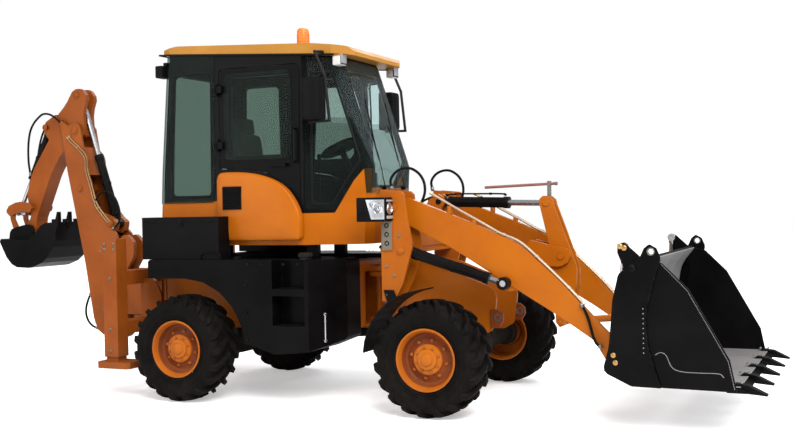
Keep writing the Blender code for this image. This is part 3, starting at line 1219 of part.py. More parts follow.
def hoe(machine):
    swing = empty("hoe_swing", (SWING_X, 0, 0.85), machine)
    part("swing_post", post_mesh(), "dark_orange", swing)
    boom = empty("boom_hinge", (BOOM_FOOT[0], 0, BOOM_FOOT[1]), swing)
    part("boom", boom_mesh(), "orange_paint", boom)
    dipper = empty("dipper_hinge", (DIPPER_PIN[0], 0, DIPPER_PIN[1]), boom)
    part("dipper", dipper_mesh(), "orange_paint", dipper)
    bucket = empty("hoe_bucket_hinge", (HOE_BUCKET_PIN[0], 0, HOE_BUCKET_PIN[1]), dipper)
    part("hoe_bucket", hoe_bucket_mesh(), "black_paint", bucket)
    rocker = empty("rocker_hinge", (ROCKER_PIN[0], 0, ROCKER_PIN[1]), dipper)
    part("hoe_rocker", rocker_mesh(), "dark_orange", rocker)
    link = empty("hoe_link_hinge", (ROCKER_EYE[0], 0, ROCKER_EYE[1]), rocker)
    part("hoe_link", hoe_link_mesh(), "orange_paint", link)
    # name, base pin, rod eye, sizes, parent of the barrel
    rams = [("boom_ram", BOOM_RAM_BASE, BOOM_RAM_EYE, BOOM_RAM, boom),
            ("dipper_ram", DIPPER_RAM_BASE, DIPPER_TAIL, DIPPER_RAM, boom),
            ("hoe_bucket_ram", HOE_RAM_BASE, ROCKER_EYE, HOE_RAM, dipper)]
    for name, base, eye, sizes, parent in rams:
        ram(name, base, eye, 0.0, sizes, *ram_empties(name, base, eye, 0.0, parent))


def main():
    clean_scene()
    machine = empty("machine", (-MID_X, 0.0, 0.0), None)
    front = empty("articulation", (PIVOT_X, 0.0, 0.9), machine)
    rear_half(machine)
    front_half(front)
    wheels(machine, front)
    loader(front)
    hoe(machine)


if __name__ == "__main__":
    main()
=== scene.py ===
"""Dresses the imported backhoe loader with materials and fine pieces, in the frame's own metres.

Laid out as an add-on: settings, one operator for each group of pieces, and one panel. Run as a script,
main() calls the operators in order. Points are (x, y, z) with x from the rear axle, as in the part.
"""
import json
import math

import bmesh
import bpy
from mathutils import Matrix, Vector

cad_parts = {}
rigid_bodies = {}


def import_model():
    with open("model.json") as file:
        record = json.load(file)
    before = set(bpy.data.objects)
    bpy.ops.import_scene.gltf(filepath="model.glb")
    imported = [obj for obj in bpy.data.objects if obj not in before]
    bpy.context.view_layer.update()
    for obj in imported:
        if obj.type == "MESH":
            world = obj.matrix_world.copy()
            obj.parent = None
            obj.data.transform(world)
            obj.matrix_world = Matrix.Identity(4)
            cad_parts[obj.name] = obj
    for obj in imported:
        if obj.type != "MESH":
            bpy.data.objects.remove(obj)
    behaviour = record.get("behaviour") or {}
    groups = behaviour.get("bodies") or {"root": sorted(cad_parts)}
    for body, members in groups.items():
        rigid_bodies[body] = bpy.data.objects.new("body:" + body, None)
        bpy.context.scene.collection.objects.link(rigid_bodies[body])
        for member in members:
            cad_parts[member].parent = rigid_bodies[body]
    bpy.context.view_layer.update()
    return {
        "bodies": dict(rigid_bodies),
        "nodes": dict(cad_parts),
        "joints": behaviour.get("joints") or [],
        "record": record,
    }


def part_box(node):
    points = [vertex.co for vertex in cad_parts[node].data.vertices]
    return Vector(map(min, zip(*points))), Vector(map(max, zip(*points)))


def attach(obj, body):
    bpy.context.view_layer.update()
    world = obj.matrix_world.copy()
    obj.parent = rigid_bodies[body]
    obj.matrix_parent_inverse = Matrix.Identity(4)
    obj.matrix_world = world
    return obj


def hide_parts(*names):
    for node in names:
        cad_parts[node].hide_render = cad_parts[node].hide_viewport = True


bl_info = {
    "name": "Backhoe loader dressing",
    "version": (1, 0, 0),
    "blender": (4, 5, 0),
    "location": "3D View > Sidebar > Loader",
    "description": "Materials and fine pieces for the packed backhoe loader",
    "category": "Object",
}

MID_X = 1.04            # from the rear axle to the middle of the machine
WHEEL_X = {"rear": 0.0, "front": 2.40}
WHEEL_Y = 0.936
WHEEL_Z = 0.475
SIDES = (("right", -1.0), ("left", 1.0))
TURN = 2.0 * math.pi

# The cab's shell: where its nose starts to taper and how fast, and the roof's fall towards the front
NOSE_START = 1.08
NOSE_TAPER = 0.367
PANE_HALF = 0.600       # half width inside the side panes, before the taper
COVER_HALF = 0.655      # half width where the side covers and the mirrors begin
ROOF_FALL = 0.06846
ROOF_TOP = 3.190
SILL_Z = 2.045

FERRULE_OVERLAP = 0.010  # how far a hose's ferrule stands out past its end
ALONG_Y = (1.5708, 0.0, 0.0)  # turn that lays a pattern's Z across the machine
BEAD_PITCH = 0.011

NODE_ROWS, NODE_WIDTH, NODE_HEIGHT = 6, 220.0, 260.0

FRAME = {}
MATERIALS = {}          # by name
GROUPS = {}             # node groups by use

# name: base colour, second colour, roughness, metallic, wear, dust, bump scale, bump strength
PAINTS = {
    "orange": ((0.400, 0.104, 0.003), (0.345, 0.083, 0.003), 0.36, 0.0, 0.40, 0.18, 46.0, 0.08),
    "tower_orange": ((0.370, 0.094, 0.004), (0.310, 0.072, 0.003), 0.40, 0.0, 0.50, 0.32, 46.0, 0.10),
    "hoe_orange": ((0.265, 0.062, 0.006), (0.205, 0.045, 0.004), 0.42, 0.0, 0.55, 0.30, 46.0, 0.12),
    "rim_paint": ((0.400, 0.102, 0.004), (0.290, 0.064, 0.004), 0.40, 0.0, 0.45, 0.35, 50.0, 0.10),
    # Darker red-brown orange: painted shade in the rims' recessed dishes; the tow eye takes it too
    "dish_shade_paint": ((0.200, 0.038, 0.006), (0.110, 0.020, 0.005), 0.50, 0.0, 0.40, 0.45, 50.0, 0.12),
    "cab_black": ((0.0016, 0.0016, 0.0020), (0.0032, 0.0032, 0.0036), 0.30, 0.0, 0.20, 0.14, 40.0, 0.06),
    "tank_black": ((0.0016, 0.0013, 0.0014), (0.0034, 0.0030, 0.0030), 0.36, 0.0, 0.35, 0.22, 38.0, 0.10),
    "bucket_black": ((0.0016, 0.0014, 0.0017), (0.0034, 0.0030, 0.0031), 0.38, 0.0, 0.65, 0.16, 30.0, 0.14),
    "ram_black": ((0.004, 0.0035, 0.0035), (0.008, 0.007, 0.0065), 0.28, 0.0, 0.45, 0.22, 60.0, 0.05),
    "chassis_black": ((0.006, 0.005, 0.005), (0.013, 0.011, 0.010), 0.52, 0.0, 0.40, 0.45, 30.0, 0.20),
    "cast_black": ((0.010, 0.009, 0.008), (0.020, 0.017, 0.014), 0.62, 0.0, 0.30, 0.50, 90.0, 0.35),
    "plastic_black": ((0.003, 0.003, 0.0033), (0.006, 0.006, 0.0065), 0.55, 0.0, 0.12, 0.28, 220.0, 0.25),
    "sign_pink": ((0.250, 0.105, 0.090), (0.200, 0.075, 0.065), 0.42, 0.0, 0.40, 0.30, 60.0, 0.08),
    "lamp_white": ((0.640, 0.630, 0.610), (0.540, 0.530, 0.510), 0.32, 0.0, 0.10, 0.25, 60.0, 0.05),
    "bracket_grey": ((0.185, 0.160, 0.130), (0.120, 0.100, 0.080), 0.48, 0.0, 0.50, 0.45, 60.0, 0.12),
}
ROOF_PAINT = ((0.390, 0.180, 0.030), (0.335, 0.145, 0.022), 0.38, 0.0, 0.20, 0.22, 40.0, 0.08)

METALS = {
    "bright_rod": ((0.52, 0.52, 0.54), (0.42, 0.42, 0.44), 0.14, 0.9),
    "worn_steel": ((0.235, 0.230, 0.234), (0.160, 0.156, 0.156), 0.46, 0.30),
    "zinc": ((0.24, 0.225, 0.20), (0.15, 0.14, 0.125), 0.36, 0.80),
    "brass": ((0.52, 0.30, 0.10), (0.36, 0.20, 0.07), 0.34, 0.85),
    "pipe_pale": ((0.46, 0.37, 0.27), (0.34, 0.25, 0.17), 0.40, 0.45),
    "pipe_tan": ((0.30, 0.155, 0.055), (0.20, 0.095, 0.035), 0.40, 0.45),
    "lens": ((0.46, 0.48, 0.50), (0.34, 0.36, 0.38), 0.14, 0.45),
    "mirror_face": ((0.20, 0.23, 0.24), (0.16, 0.19, 0.20), 0.06, 0.9),
}


class LoaderSettings(bpy.types.PropertyGroup):
    """What the operators can be told."""
    camera_place: bpy.props.FloatVectorProperty(
        name="Camera", description="Where the camera stands", size=3, subtype="TRANSLATION",
        unit="LENGTH", default=(4.705, -8.977, 1.716))
    camera_azimuth: bpy.props.FloatProperty(
        name="Azimuth", description="Turn of the camera from straight at the right side",
        subtype="ANGLE", default=math.radians(24.35))
    camera_tilt: bpy.props.FloatProperty(
        name="Tilt", description="How far the camera looks down", subtype="ANGLE",
        default=math.radians(1.0))
    camera_roll: bpy.props.FloatProperty(
        name="Roll", description="Turn of the picture", subtype="ANGLE", default=math.radians(-1.1))
    lens: bpy.props.FloatProperty(
        name="Lens", description="Focal length on a 36 mm sensor", default=48.88)
    lug_count: bpy.props.IntProperty(
        name="Lugs", description="Tread lugs on each half of a tyre", default=19, min=8, max=40)
    hose_sides: bpy.props.IntProperty(
        name="Hose sides", description="Sides of a hose's section", default=12, min=6, max=32)


# Shader nodes

def add_node(tree, kind, **values):
    """A new node, laid out in columns in the order of making."""
    made = tree.nodes.new(kind)
    column, row = divmod(len(tree.nodes), NODE_ROWS)
    made.location = (column * NODE_WIDTH, -row * NODE_HEIGHT)
    for name, value in values.items():
        setattr(made, name, value)
    return made


def math_node(tree, operation, a, b=None):
    """A math node's output from sockets or plain numbers."""
    made = add_node(tree, "ShaderNodeMath", operation=operation)
    for socket, value in zip(made.inputs, (a, b)):
        if isinstance(value, (int, float)):
            socket.default_value = value
        elif value is not None:
            tree.links.new(value, socket)
    return made.outputs[0]


def step(tree, value, limit, above=True):
    """1 above a limit, or below it."""
    return math_node(tree, "GREATER_THAN" if above else "LESS_THAN", value, limit)


def split_xyz(tree, vector):
    made = add_node(tree, "ShaderNodeSeparateXYZ")
    tree.links.new(vector, made.inputs[0])
    return made.outputs["X"], made.outputs["Y"], made.outputs["Z"]


def noise(tree, vector, scale, detail=3.0, rough=0.55):
    """A noise texture's factor."""
    made = add_node(tree, "ShaderNodeTexNoise")
    for name, number in (("Scale", scale), ("Detail", detail), ("Roughness", rough)):
        made.inputs[name].default_value = number
    tree.links.new(vector, made.inputs["Vector"])
    return made.outputs["Fac"]


def ramp_value(tree, value, low, high, out_low=0.0, out_high=1.0):
    """The value carried from one range to another, and held at its ends."""
    made = add_node(tree, "ShaderNodeMapRange", clamp=True)
    for name, number in (("From Min", low), ("From Max", high), ("To Min", out_low), ("To Max", out_high)):
        made.inputs[name].default_value = number
    tree.links.new(value, made.inputs["Value"])
    return made.outputs["Result"]


def mix_colour(tree, factor, a, b):
    """Colours a to b by a linked factor; a and b are linked too, or plain colours."""
    made = add_node(tree, "ShaderNodeMix", data_type="RGBA")
    tree.links.new(factor, made.inputs["Factor"])
    for name, value in (("A", a), ("B", b)):
        socket = [s for s in made.inputs if s.name == name and s.type == "RGBA"][0]
        if isinstance(value, tuple):
            socket.default_value = (*value, 1.0)
        else:
            tree.links.new(value, socket)
    return [s for s in made.outputs if s.type == "RGBA"][0]


def bump_from(tree, shader, height, distance):
    """A bump from a height, straight into the shader's normal."""
    bump = add_node(tree, "ShaderNodeBump")
    bump.inputs["Distance"].default_value = distance
    bump.inputs["Strength"].default_value = 0.5
    tree.links.new(height, bump.inputs["Height"])
    tree.links.new(bump.outputs["Normal"], shader.inputs["Normal"])


def new_group(name, inputs, outputs):
    """A shader group whose sockets are floats, or vectors where their name says so."""
    group = bpy.data.node_groups.new(name, "ShaderNodeTree")
    for way, labels in (("INPUT", inputs), ("OUTPUT", outputs)):
        for label in labels:
            kind = "NodeSocketVector" if label in ("Vector", "Normal") else "NodeSocketFloat"
            group.interface.new_socket(name=label, in_out=way, socket_type=kind)
    return group, add_node(group, "NodeGroupInput"), add_node(group, "NodeGroupOutput")


def weathering_group():
    """Tone, dust, edge wear, scratches and a rounded, bumped normal from a place on the object."""
    group, start, end = new_group(
        "Weathering", ("Vector", "Dust amount", "Wear amount", "Grain scale", "Grain strength", "Edge radius"),
        ("Tone", "Dust", "Wear", "Scratch", "Normal"))
    link = group.links.new
    vector = start.outputs["Vector"]
    tone = noise(group, vector, 2.3, 4.0, 0.6)
    link(tone, end.inputs["Tone"])

    geometry = add_node(group, "ShaderNodeNewGeometry")
    facing, height_above = (split_xyz(group, source)[2] for source in (geometry.outputs["Normal"], vector))
    upward = ramp_value(group, facing, 0.2, 1.0, 0.0, 0.55)
    low = ramp_value(group, height_above, 0.0, 1.15, 0.9, 0.10)
    patches = ramp_value(group, noise(group, vector, 6.0, 6.0, 0.65), 0.36, 0.70)
    fine = ramp_value(group, noise(group, vector, 55.0, 4.0, 0.7), 0.35, 0.75, 0.5, 1.0)
    dust = math_node(group, "ADD", upward, low)
    dust = math_node(group, "MULTIPLY", dust, patches)
    dust = math_node(group, "MULTIPLY", dust, fine)
    dust = math_node(group, "MULTIPLY", dust, start.outputs["Dust amount"])
    link(dust, end.inputs["Dust"])

    rounded = add_node(group, "ShaderNodeBevel", samples=4)
    link(start.outputs["Edge radius"], rounded.inputs["Radius"])
    dot = add_node(group, "ShaderNodeVectorMath", operation="DOT_PRODUCT")
    link(rounded.outputs["Normal"], dot.inputs[0])
    link(geometry.outputs["Normal"], dot.inputs[1])
    edge = ramp_value(group, dot.outputs["Value"], 0.992, 0.86, 0.0, 1.0)
    broken = ramp_value(group, noise(group, vector, 24.0, 5.0, 0.7), 0.47, 0.60)
    wear = math_node(group, "MULTIPLY", edge, broken)
    wear = math_node(group, "MULTIPLY", wear, start.outputs["Wear amount"])
    link(wear, end.inputs["Wear"])

    stretch = add_node(group, "ShaderNodeMapping")
    stretch.inputs["Scale"].default_value = (1.0, 1.0, 9.0)
    stretch.inputs["Rotation"].default_value = (0.0, 0.5, 0.2)
    link(vector, stretch.inputs["Vector"])
    lines = noise(group, stretch.outputs[0], 19.0, 8.0, 0.75)
    scratch = ramp_value(group, lines, 0.68, 0.74, 0.0, 1.0)
    scratch = math_node(group, "MULTIPLY", scratch, start.outputs["Wear amount"])
    link(scratch, end.inputs["Scratch"])

    grain = add_node(group, "ShaderNodeTexNoise")
    grain.inputs["Detail"].default_value = 3.0
    link(vector, grain.inputs["Vector"])
    link(start.outputs["Grain scale"], grain.inputs["Scale"])
    dents = noise(group, vector, 4.5, 2.0, 0.5)
    dents = math_node(group, "MULTIPLY", dents, 1.6)
    height = math_node(group, "ADD", grain.outputs["Fac"], dents)
    bump = add_node(group, "ShaderNodeBump")
    bump.inputs["Distance"].default_value = 0.004
    link(start.outputs["Grain strength"], bump.inputs["Strength"])
    link(height, bump.inputs["Height"])
    link(rounded.outputs["Normal"], bump.inputs["Normal"])
    link(bump.outputs["Normal"], end.inputs["Normal"])
    return group


def start_material(name):
    material = bpy.data.materials.new(name)
    material.use_nodes = True
    MATERIALS[name] = material
    tree = material.node_tree
    return tree, tree.nodes["Principled BSDF"], add_node(tree, "ShaderNodeTexCoord").outputs["Object"]


def set_inputs(shader, **values):
    """Constants on the shader's own sockets, named with underscores for spaces."""
    for name, value in values.items():
        shader.inputs[name.replace("_", " ")].default_value = value


def two_tone(tree, marks, base, second, low=0.35, high=0.68):
    """Two colours mixed by the weathering's tone."""
    return mix_colour(tree, ramp_value(tree, marks["Tone"], low, high), base, second)


def weathering(tree, vector, dust, wear, scale, strength, radius=0.006):
    made = add_node(tree, "ShaderNodeGroup", node_tree=GROUPS["weathering"])
    tree.links.new(vector, made.inputs["Vector"])
    for name, value in (("Dust amount", dust), ("Wear amount", wear), ("Grain scale", scale),
                        ("Grain strength", strength), ("Edge radius", radius)):
        made.inputs[name].default_value = value
    return made.outputs


def finish_paint(tree, shader, base, rough, marks, bright=(0.30, 0.27, 0.24), dust=(0.23, 0.165, 0.105)):
    colour = mix_colour(tree, marks["Wear"], base, bright)
    faint = math_node(tree, "MULTIPLY", marks["Scratch"], 0.45)
    colour = mix_colour(tree, faint, colour, bright)
    colour = mix_colour(tree, marks["Dust"], colour, dust)
    tree.links.new(colour, shader.inputs["Base Color"])
    cloudy = ramp_value(tree, marks["Tone"], 0.3, 0.7, rough - 0.07, rough + 0.09)
    dull = math_node(tree, "MULTIPLY", marks["Dust"], 0.42)
    total = math_node(tree, "ADD", cloudy, dull)
    tree.links.new(total, shader.inputs["Roughness"])
    tree.links.new(marks["Normal"], shader.inputs["Normal"])


def paint_material(name):
    base, second, rough, metallic, wear, dust, scale, strength = PAINTS[name]
    tree, shader, vector = start_material(name)
    marks = weathering(tree, vector, dust, wear, scale, strength)
    dark = max(base) < 0.05
    finish_paint(tree, shader, two_tone(tree, marks, base, second), rough, marks,
                 bright=(0.060, 0.055, 0.050) if dark else (0.28, 0.17, 0.09),
                 dust=(0.020, 0.017, 0.014) if dark else (0.17, 0.095, 0.045))
    set_inputs(shader, Metallic=metallic, Specular_IOR_Level=0.04 if dark else 0.10,
               Coat_Weight=0.03 if dark else 0.07, Coat_Roughness=0.14)


def roof_material():
    """Moulded roof shell in its paler orange; mirrors, their tubes and the lamp boxes under it in black."""
    base, second, rough, _, wear, dust, scale, strength = ROOF_PAINT
    tree, shader, vector = start_material("roof_paint")
    marks = weathering(tree, vector, dust, wear, scale, strength)
    x, y, z = split_xyz(tree, vector)
    y = math_node(tree, "ABSOLUTE", y)
    level = math_node(tree, "ADD", z, math_node(tree, "MULTIPLY", x, ROOF_FALL))
    above = step(tree, level, ROOF_TOP - ROOF_FALL * 1.74 - 0.022)
    mask = math_node(tree, "MULTIPLY", above, step(tree, y, COVER_HALF, False))
    colour = mix_colour(tree, mask, two_tone(tree, marks, *PAINTS["cab_black"][:2]),
                        two_tone(tree, marks, base, second))
    finish_paint(tree, shader, colour, rough, marks, (0.28, 0.20, 0.12), (0.15, 0.11, 0.07))
    set_inputs(shader, Specular_IOR_Level=0.12)


def widened_half(tree, x, y):
    """Half width as it would be if the cab's nose kept the width of its middle."""
    taper = math_node(tree, "MAXIMUM", math_node(tree, "SUBTRACT", x, NOSE_START - MID_X), 0.0)
    return math_node(tree, "ADD", y, math_node(tree, "MULTIPLY", taper, NOSE_TAPER))


def cab_material():
    """Black cab with an orange lower band, nose and moulded side covers, told apart by place."""
    tree, shader, vector = start_material("cab_shell")
    marks = weathering(tree, vector, 0.22, 0.35, 42.0, 0.07)
    x, y, z = split_xyz(tree, vector)
    y = math_node(tree, "ABSOLUTE", y)

    def times(a, b):
        return math_node(tree, "MULTIPLY", a, b)

    # The band's upper edge is a ramp along x, in quarters of a metre, compared with z in the same measure
    edge = add_node(tree, "ShaderNodeValToRGB")
    stops = [(-0.60, 1.785), (0.20, 1.785), (0.21, 1.66), (1.335, 1.66), (1.500, 1.945), (1.585, SILL_Z),
             (1.70, SILL_Z)]
    ramp = edge.color_ramp
    while len(ramp.elements) < len(stops):
        ramp.elements.new(0.5)
    for element, (stop_x, stop_z) in zip(ramp.elements, stops):
        element.position = (stop_x - MID_X + 2.0) / 4.0
        element.color = (*[stop_z / 4.0] * 3, 1.0)
    tree.links.new(ramp_value(tree, x, -2.0, 2.0), edge.inputs[0])
    lower = math_node(tree, "LESS_THAN", times(z, 0.25), edge.outputs[0])
    nose = times(step(tree, y, 0.40, False), step(tree, z, 1.875))
    lower = math_node(tree, "MAXIMUM", math_node(tree, "SUBTRACT", lower, nose), 0.0)
    inner = step(tree, widened_half(tree, x, y), PANE_HALF, False)
    inside = times(times(inner, step(tree, x, 1.40 - MID_X, False)), step(tree, x, -0.425 - MID_X))
    lower = times(lower, math_node(tree, "SUBTRACT", 1.0, inside))
    cover = times(times(step(tree, y, COVER_HALF), step(tree, z, SILL_Z, False)),
                  step(tree, x, 1.085 - MID_X, False))
    mask = math_node(tree, "MAXIMUM", lower, cover)
    colour = mix_colour(tree, mask, two_tone(tree, marks, *PAINTS["cab_black"][:2]),
                        two_tone(tree, marks, *PAINTS["orange"][:2]))
    finish_paint(tree, shader, colour, 0.33, marks, (0.12, 0.08, 0.05), (0.045, 0.032, 0.022))
    set_inputs(shader, Specular_IOR_Level=0.05, Coat_Weight=0.04)


def metal_material(name):
    base, second, rough, metallic = METALS[name]
    tree, shader, vector = start_material(name)
    marks = weathering(tree, vector, 0.22, 0.30, 120.0, 0.05, 0.002)
    finish_paint(tree, shader, two_tone(tree, marks, base, second), rough, marks, (0.55, 0.53, 0.50))
    set_inputs(shader, Metallic=metallic)


def rubber_material(name, base, rough, dust, scale=130.0, strength=0.35):
    tree, shader, vector = start_material(name)
    marks = weathering(tree, vector, dust, 0.10, scale, strength, 0.003)
    colour = two_tone(tree, marks, base, tuple(c * 1.9 for c in base), 0.3, 0.7)
    finish_paint(tree, shader, colour, rough, marks, (0.020, 0.019, 0.018), (0.024, 0.019, 0.015))
    set_inputs(shader, Specular_IOR_Level=0.05)


def glass_material(name, colour, side_colour=None):
    """Tinted glass; the side panes of the wrapped front piece are darker than its windscreen."""
    tree, shader, vector = start_material(name)
    smear = noise(tree, vector, 5.0, 5.0, 0.6)
    tint = mix_colour(tree, ramp_value(tree, smear, 0.25, 0.8), colour, tuple(c * 1.03 for c in colour))
    if side_colour:
        x, y, _ = split_xyz(tree, vector)
        widened = widened_half(tree, x, math_node(tree, "ABSOLUTE", y))
        tint = mix_colour(tree, step(tree, widened, PANE_HALF), tint, side_colour)
    tree.links.new(tint, shader.inputs["Base Color"])
    tree.links.new(ramp_value(tree, smear, 0.3, 0.75, 0.01, 0.07), shader.inputs["Roughness"])
    set_inputs(shader, Transmission_Weight=0.985, IOR=1.10, Metallic=0.0)


def amber_material():
    """The beacon's ribbed lens."""
    tree, shader, vector = start_material("amber")
    wave = add_node(tree, "ShaderNodeTexWave", bands_direction="Z", wave_profile="SIN")
    wave.inputs["Scale"].default_value = 22.0
    tree.links.new(vector, wave.inputs["Vector"])
    bands = wave.outputs["Fac"]
    tree.links.new(mix_colour(tree, bands, (0.86, 0.16, 0.012), (0.98, 0.34, 0.06)), shader.inputs["Base Color"])
    tree.links.new(ramp_value(tree, bands, 0.0, 1.0, 0.10, 0.24), shader.inputs["Roughness"])
    bump_from(tree, shader, bands, 0.002)
    set_inputs(shader, Transmission_Weight=0.25)


def seat_material():
    """Coarse black cloth."""
    tree, shader, vector = start_material("seat_cover")
    weave = add_node(tree, "ShaderNodeTexVoronoi")
    weave.inputs["Scale"].default_value = 210.0
    tree.links.new(vector, weave.inputs["Vector"])
    cloud = noise(tree, vector, 7.0, 5.0, 0.6)
    colour = mix_colour(tree, ramp_value(tree, cloud, 0.3, 0.7), (0.014, 0.014, 0.016), (0.034, 0.033, 0.035))
    tree.links.new(colour, shader.inputs["Base Color"])
    tree.links.new(ramp_value(tree, cloud, 0.3, 0.7, 0.62, 0.82), shader.inputs["Roughness"])
    bump_from(tree, shader, weave.outputs["Distance"], 0.0015)
    set_inputs(shader, Sheen_Weight=0.15)


def make_materials():
    GROUPS["weathering"] = weathering_group()
    for name in PAINTS:
        paint_material(name)
    for name in METALS:
        metal_material(name)
    cab_material()
    roof_material()
    rubber_material("tyre_rubber", (0.0022, 0.0019, 0.0018), 0.60, 0.60)
    rubber_material("hose_rubber", (0.0045, 0.0042, 0.0042), 0.44, 0.20, 400.0, 0.15)
    rubber_material("seal_rubber", (0.0060, 0.0060, 0.0064), 0.58, 0.20)
    glass_material("cab_glass", (0.28, 0.36, 0.32))
    glass_material("screen_glass", (0.68, 0.79, 0.79), (0.28, 0.36, 0.33))
    amber_material()
    seat_material()


NODE_MATERIALS = {
    "rear_frame": "tower_orange", "engine_block": "cast_black", "rear_axle": "cast_black",
    "side_tank_right": "tank_black", "side_tank_left": "tank_black",
    "side_box_right": "tank_black", "side_box_left": "tank_black",
    "cab_frame": "cab_shell", "front_glass": "screen_glass", "rear_glass": "cab_glass",
    "roof": "roof_paint", "beacon": "amber", "seat": "seat_cover", "hoe_frame": "hoe_orange",
    "door_right": "cab_black", "door_left": "cab_black",
    "door_glass_right": "cab_glass", "door_glass_left": "cab_glass",
    "leg_right": "hoe_orange", "leg_left": "hoe_orange",
    "front_frame": "tower_orange", "front_axle": "cast_black",
    "fender_right": "plastic_black", "fender_left": "plastic_black",
    "loader_arms": "orange", "bell_crank": "orange", "tilt_link": "orange",
    "tilt_barrel": "ram_black", "tilt_rod": "bright_rod",
    "moldboard": "bucket_black", "jaw": "bucket_black",
    "swing_post": "hoe_orange", "boom": "hoe_orange", "dipper": "hoe_orange",
    "hoe_bucket": "bucket_black", "hoe_rocker": "hoe_orange", "hoe_link": "hoe_orange",
}


def node_material(name):
    if name in NODE_MATERIALS:
        return NODE_MATERIALS[name]
    if "rod" in name:
        return "bright_rod"
    if "barrel" in name:
        return "ram_black"
    if name.startswith("tyre"):
        return "tyre_rubber"
    return "rim_paint"


# Mesh helpers

def at(x, y, z):
    """A place in the CAD's own measures, carried into the scene's frame."""
    return Vector((x - MID_X, y, z))


def add_box(bm, low, high, material=0, bevel=0.003):
    """A box between two corners, with small bevels."""
    low, high = Vector(low), Vector(high)
    made = bmesh.ops.create_cube(bm, size=1.0)["verts"]
    bmesh.ops.scale(bm, verts=made, vec=high - low)
    bmesh.ops.translate(bm, verts=made, vec=(low + high) / 2.0 - Vector((MID_X, 0.0, 0.0)))
    for face in {face for vert in made for face in vert.link_faces}:
        face.material_index = material
    edges = list({edge for vert in made for edge in vert.link_edges})
    width = min(bevel, 0.45 * min(high - low))
    if width > 0.0:
        bevel_edges(bm, edges, width, material)


def side_box(bm, side, low, high, *look):
    """A box on one side of the machine, whose y counts outwards."""
    near, far = sorted((side * low[1], side * high[1]))
    add_box(bm, (low[0], near, low[2]), (high[0], far, high[2]), *look)


def bevel_edges(bm, edges, width, material):
    bmesh.ops.bevel(bm, geom=edges, offset=width, segments=2, profile=0.6, affect="EDGES",
                    clamp_overlap=True, material=material)


def bridge(bm, first, second, material=0):
    """Faces between two rings of vertices, either of which may be a single pole."""
    faces = []
    count = max(len(first), len(second))
    for i in range(count):
        j = (i + 1) % count
        if len(first) == 1:
            corners = (first[0], second[j], second[i])
        elif len(second) == 1:
            corners = (first[i], first[j], second[0])
        else:
            corners = (first[i], first[j], second[j], second[i])
        faces.append(bm.faces.new(corners))
        faces[-1].material_index = material
    return faces


def circle(centre, a, b, radius, steps):
    """Points of a circle in the plane of two directions."""
    return [centre + (a * math.cos(TURN * i / steps) + b * math.sin(TURN * i / steps)) * radius
            for i in range(steps)]


def directions(axis):
    """The unit axis and two directions across it."""
    axis = Vector(axis).normalized()
    a = axis.orthogonal().normalized()
    return axis, a, axis.cross(a)


def add_plate(bm, outline, y0, y1, material=0, bevel=0.0):
    """A plate of an (x, z) outline between two y."""
    near, far = ([bm.verts.new(at(x, y, z)) for x, z in outline] for y in (y0, y1))
    faces = [bm.faces.new(near), bm.faces.new(list(reversed(far)))]
    for face in faces:
        face.material_index = material
    bridge(bm, far, near, material)
    if bevel > 0.0:
        bevel_edges(bm, list({edge for face in faces for edge in face.edges}), bevel, material)


def side_plate(bm, side, outline, near, far, *look):
    """A plate on one side of the machine, whose y counts outwards."""
    add_plate(bm, outline, *sorted((side * near, side * far)), *look)


def frames_along(points):
    """Two directions across the path at each point, carried along it without twist."""
    tangents = []
    for i in range(len(points)):
        before = points[max(i - 1, 0)]
        after = points[min(i + 1, len(points) - 1)]
        tangents.append((after - before).normalized())
    side = tangents[0].orthogonal().normalized()
    result = []
    for tangent in tangents:
        side = (side - tangent * side.dot(tangent)).normalized()
        result.append((side, tangent.cross(side)))
    return result


def add_tube(bm, points, radius, sides=10, material=0):
    """A capped tube along a path."""
    rings = [[bm.verts.new(spot) for spot in circle(point, a, b, radius, sides)]
             for point, (a, b) in zip(points, frames_along(points))]
    for first, second in zip(rings, rings[1:]):
        bridge(bm, first, second, material)
    for end in (list(reversed(rings[0])), rings[-1]):
        bm.faces.new(end).material_index = material


def add_turned(bm, centre, axis, rows, steps=24, material=0):
    """A closed form turned about an axis; rows are (distance along the axis, radius)."""
    axis, a, b = directions(axis)
    rings = []
    for along, radius in rows:
        middle = centre + axis * along
        spots = circle(middle, a, b, radius, steps) if radius > 1e-6 else [middle]
        rings.append([bm.verts.new(spot) for spot in spots])
    for first, second in zip(rings, rings[1:]):
        bridge(bm, first, second, material)
    for ring in (rings[0], rings[-1]):
        if len(ring) > 1:
            bm.faces.new(ring).material_index = material


def add_ring(bm, centre, axis, rows, steps=36, material=0):
    """A closed loop of (distance, radius) rows turned about an axis; material may be one for each row."""
    axis, a, b = directions(axis)
    rings = [[bm.verts.new(spot) for spot in circle(centre + axis * along, a, b, radius, steps)]
             for along, radius in rows]
    for k, first in enumerate(rings):
        bridge(bm, first, rings[(k + 1) % len(rings)], material[k] if isinstance(material, list) else material)


def new_object(name, data):
    made = bpy.data.objects.new(name, data)
    bpy.context.scene.collection.objects.link(made)
    return made


def clean_mesh(name, bm, doubles):
    """A mesh from the work, with its doubles merged and its faces turned outwards."""
    bmesh.ops.remove_doubles(bm, verts=bm.verts, dist=doubles)
    bmesh.ops.recalc_face_normals(bm, faces=bm.faces)
    mesh = bpy.data.meshes.new(name)
    bm.to_mesh(mesh)
    bm.free()
    return mesh


def soften(mesh, degrees):
    """Smooth faces, with edges sharper than an angle kept."""
    mesh.polygons.foreach_set("use_smooth", [True] * len(mesh.polygons))
    mesh.set_sharp_from_angle(angle=math.radians(degrees))


def finish_piece(name, bm, materials, body, smooth=38.0):
    """The finished piece on its body, with its materials and smooth faces."""
    mesh = clean_mesh(name, bm, 1e-6)
    for material in materials:
        mesh.materials.append(MATERIALS[material])
    soften(mesh, smooth)
    piece = new_object(name, mesh)
    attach(piece, body)
    return piece


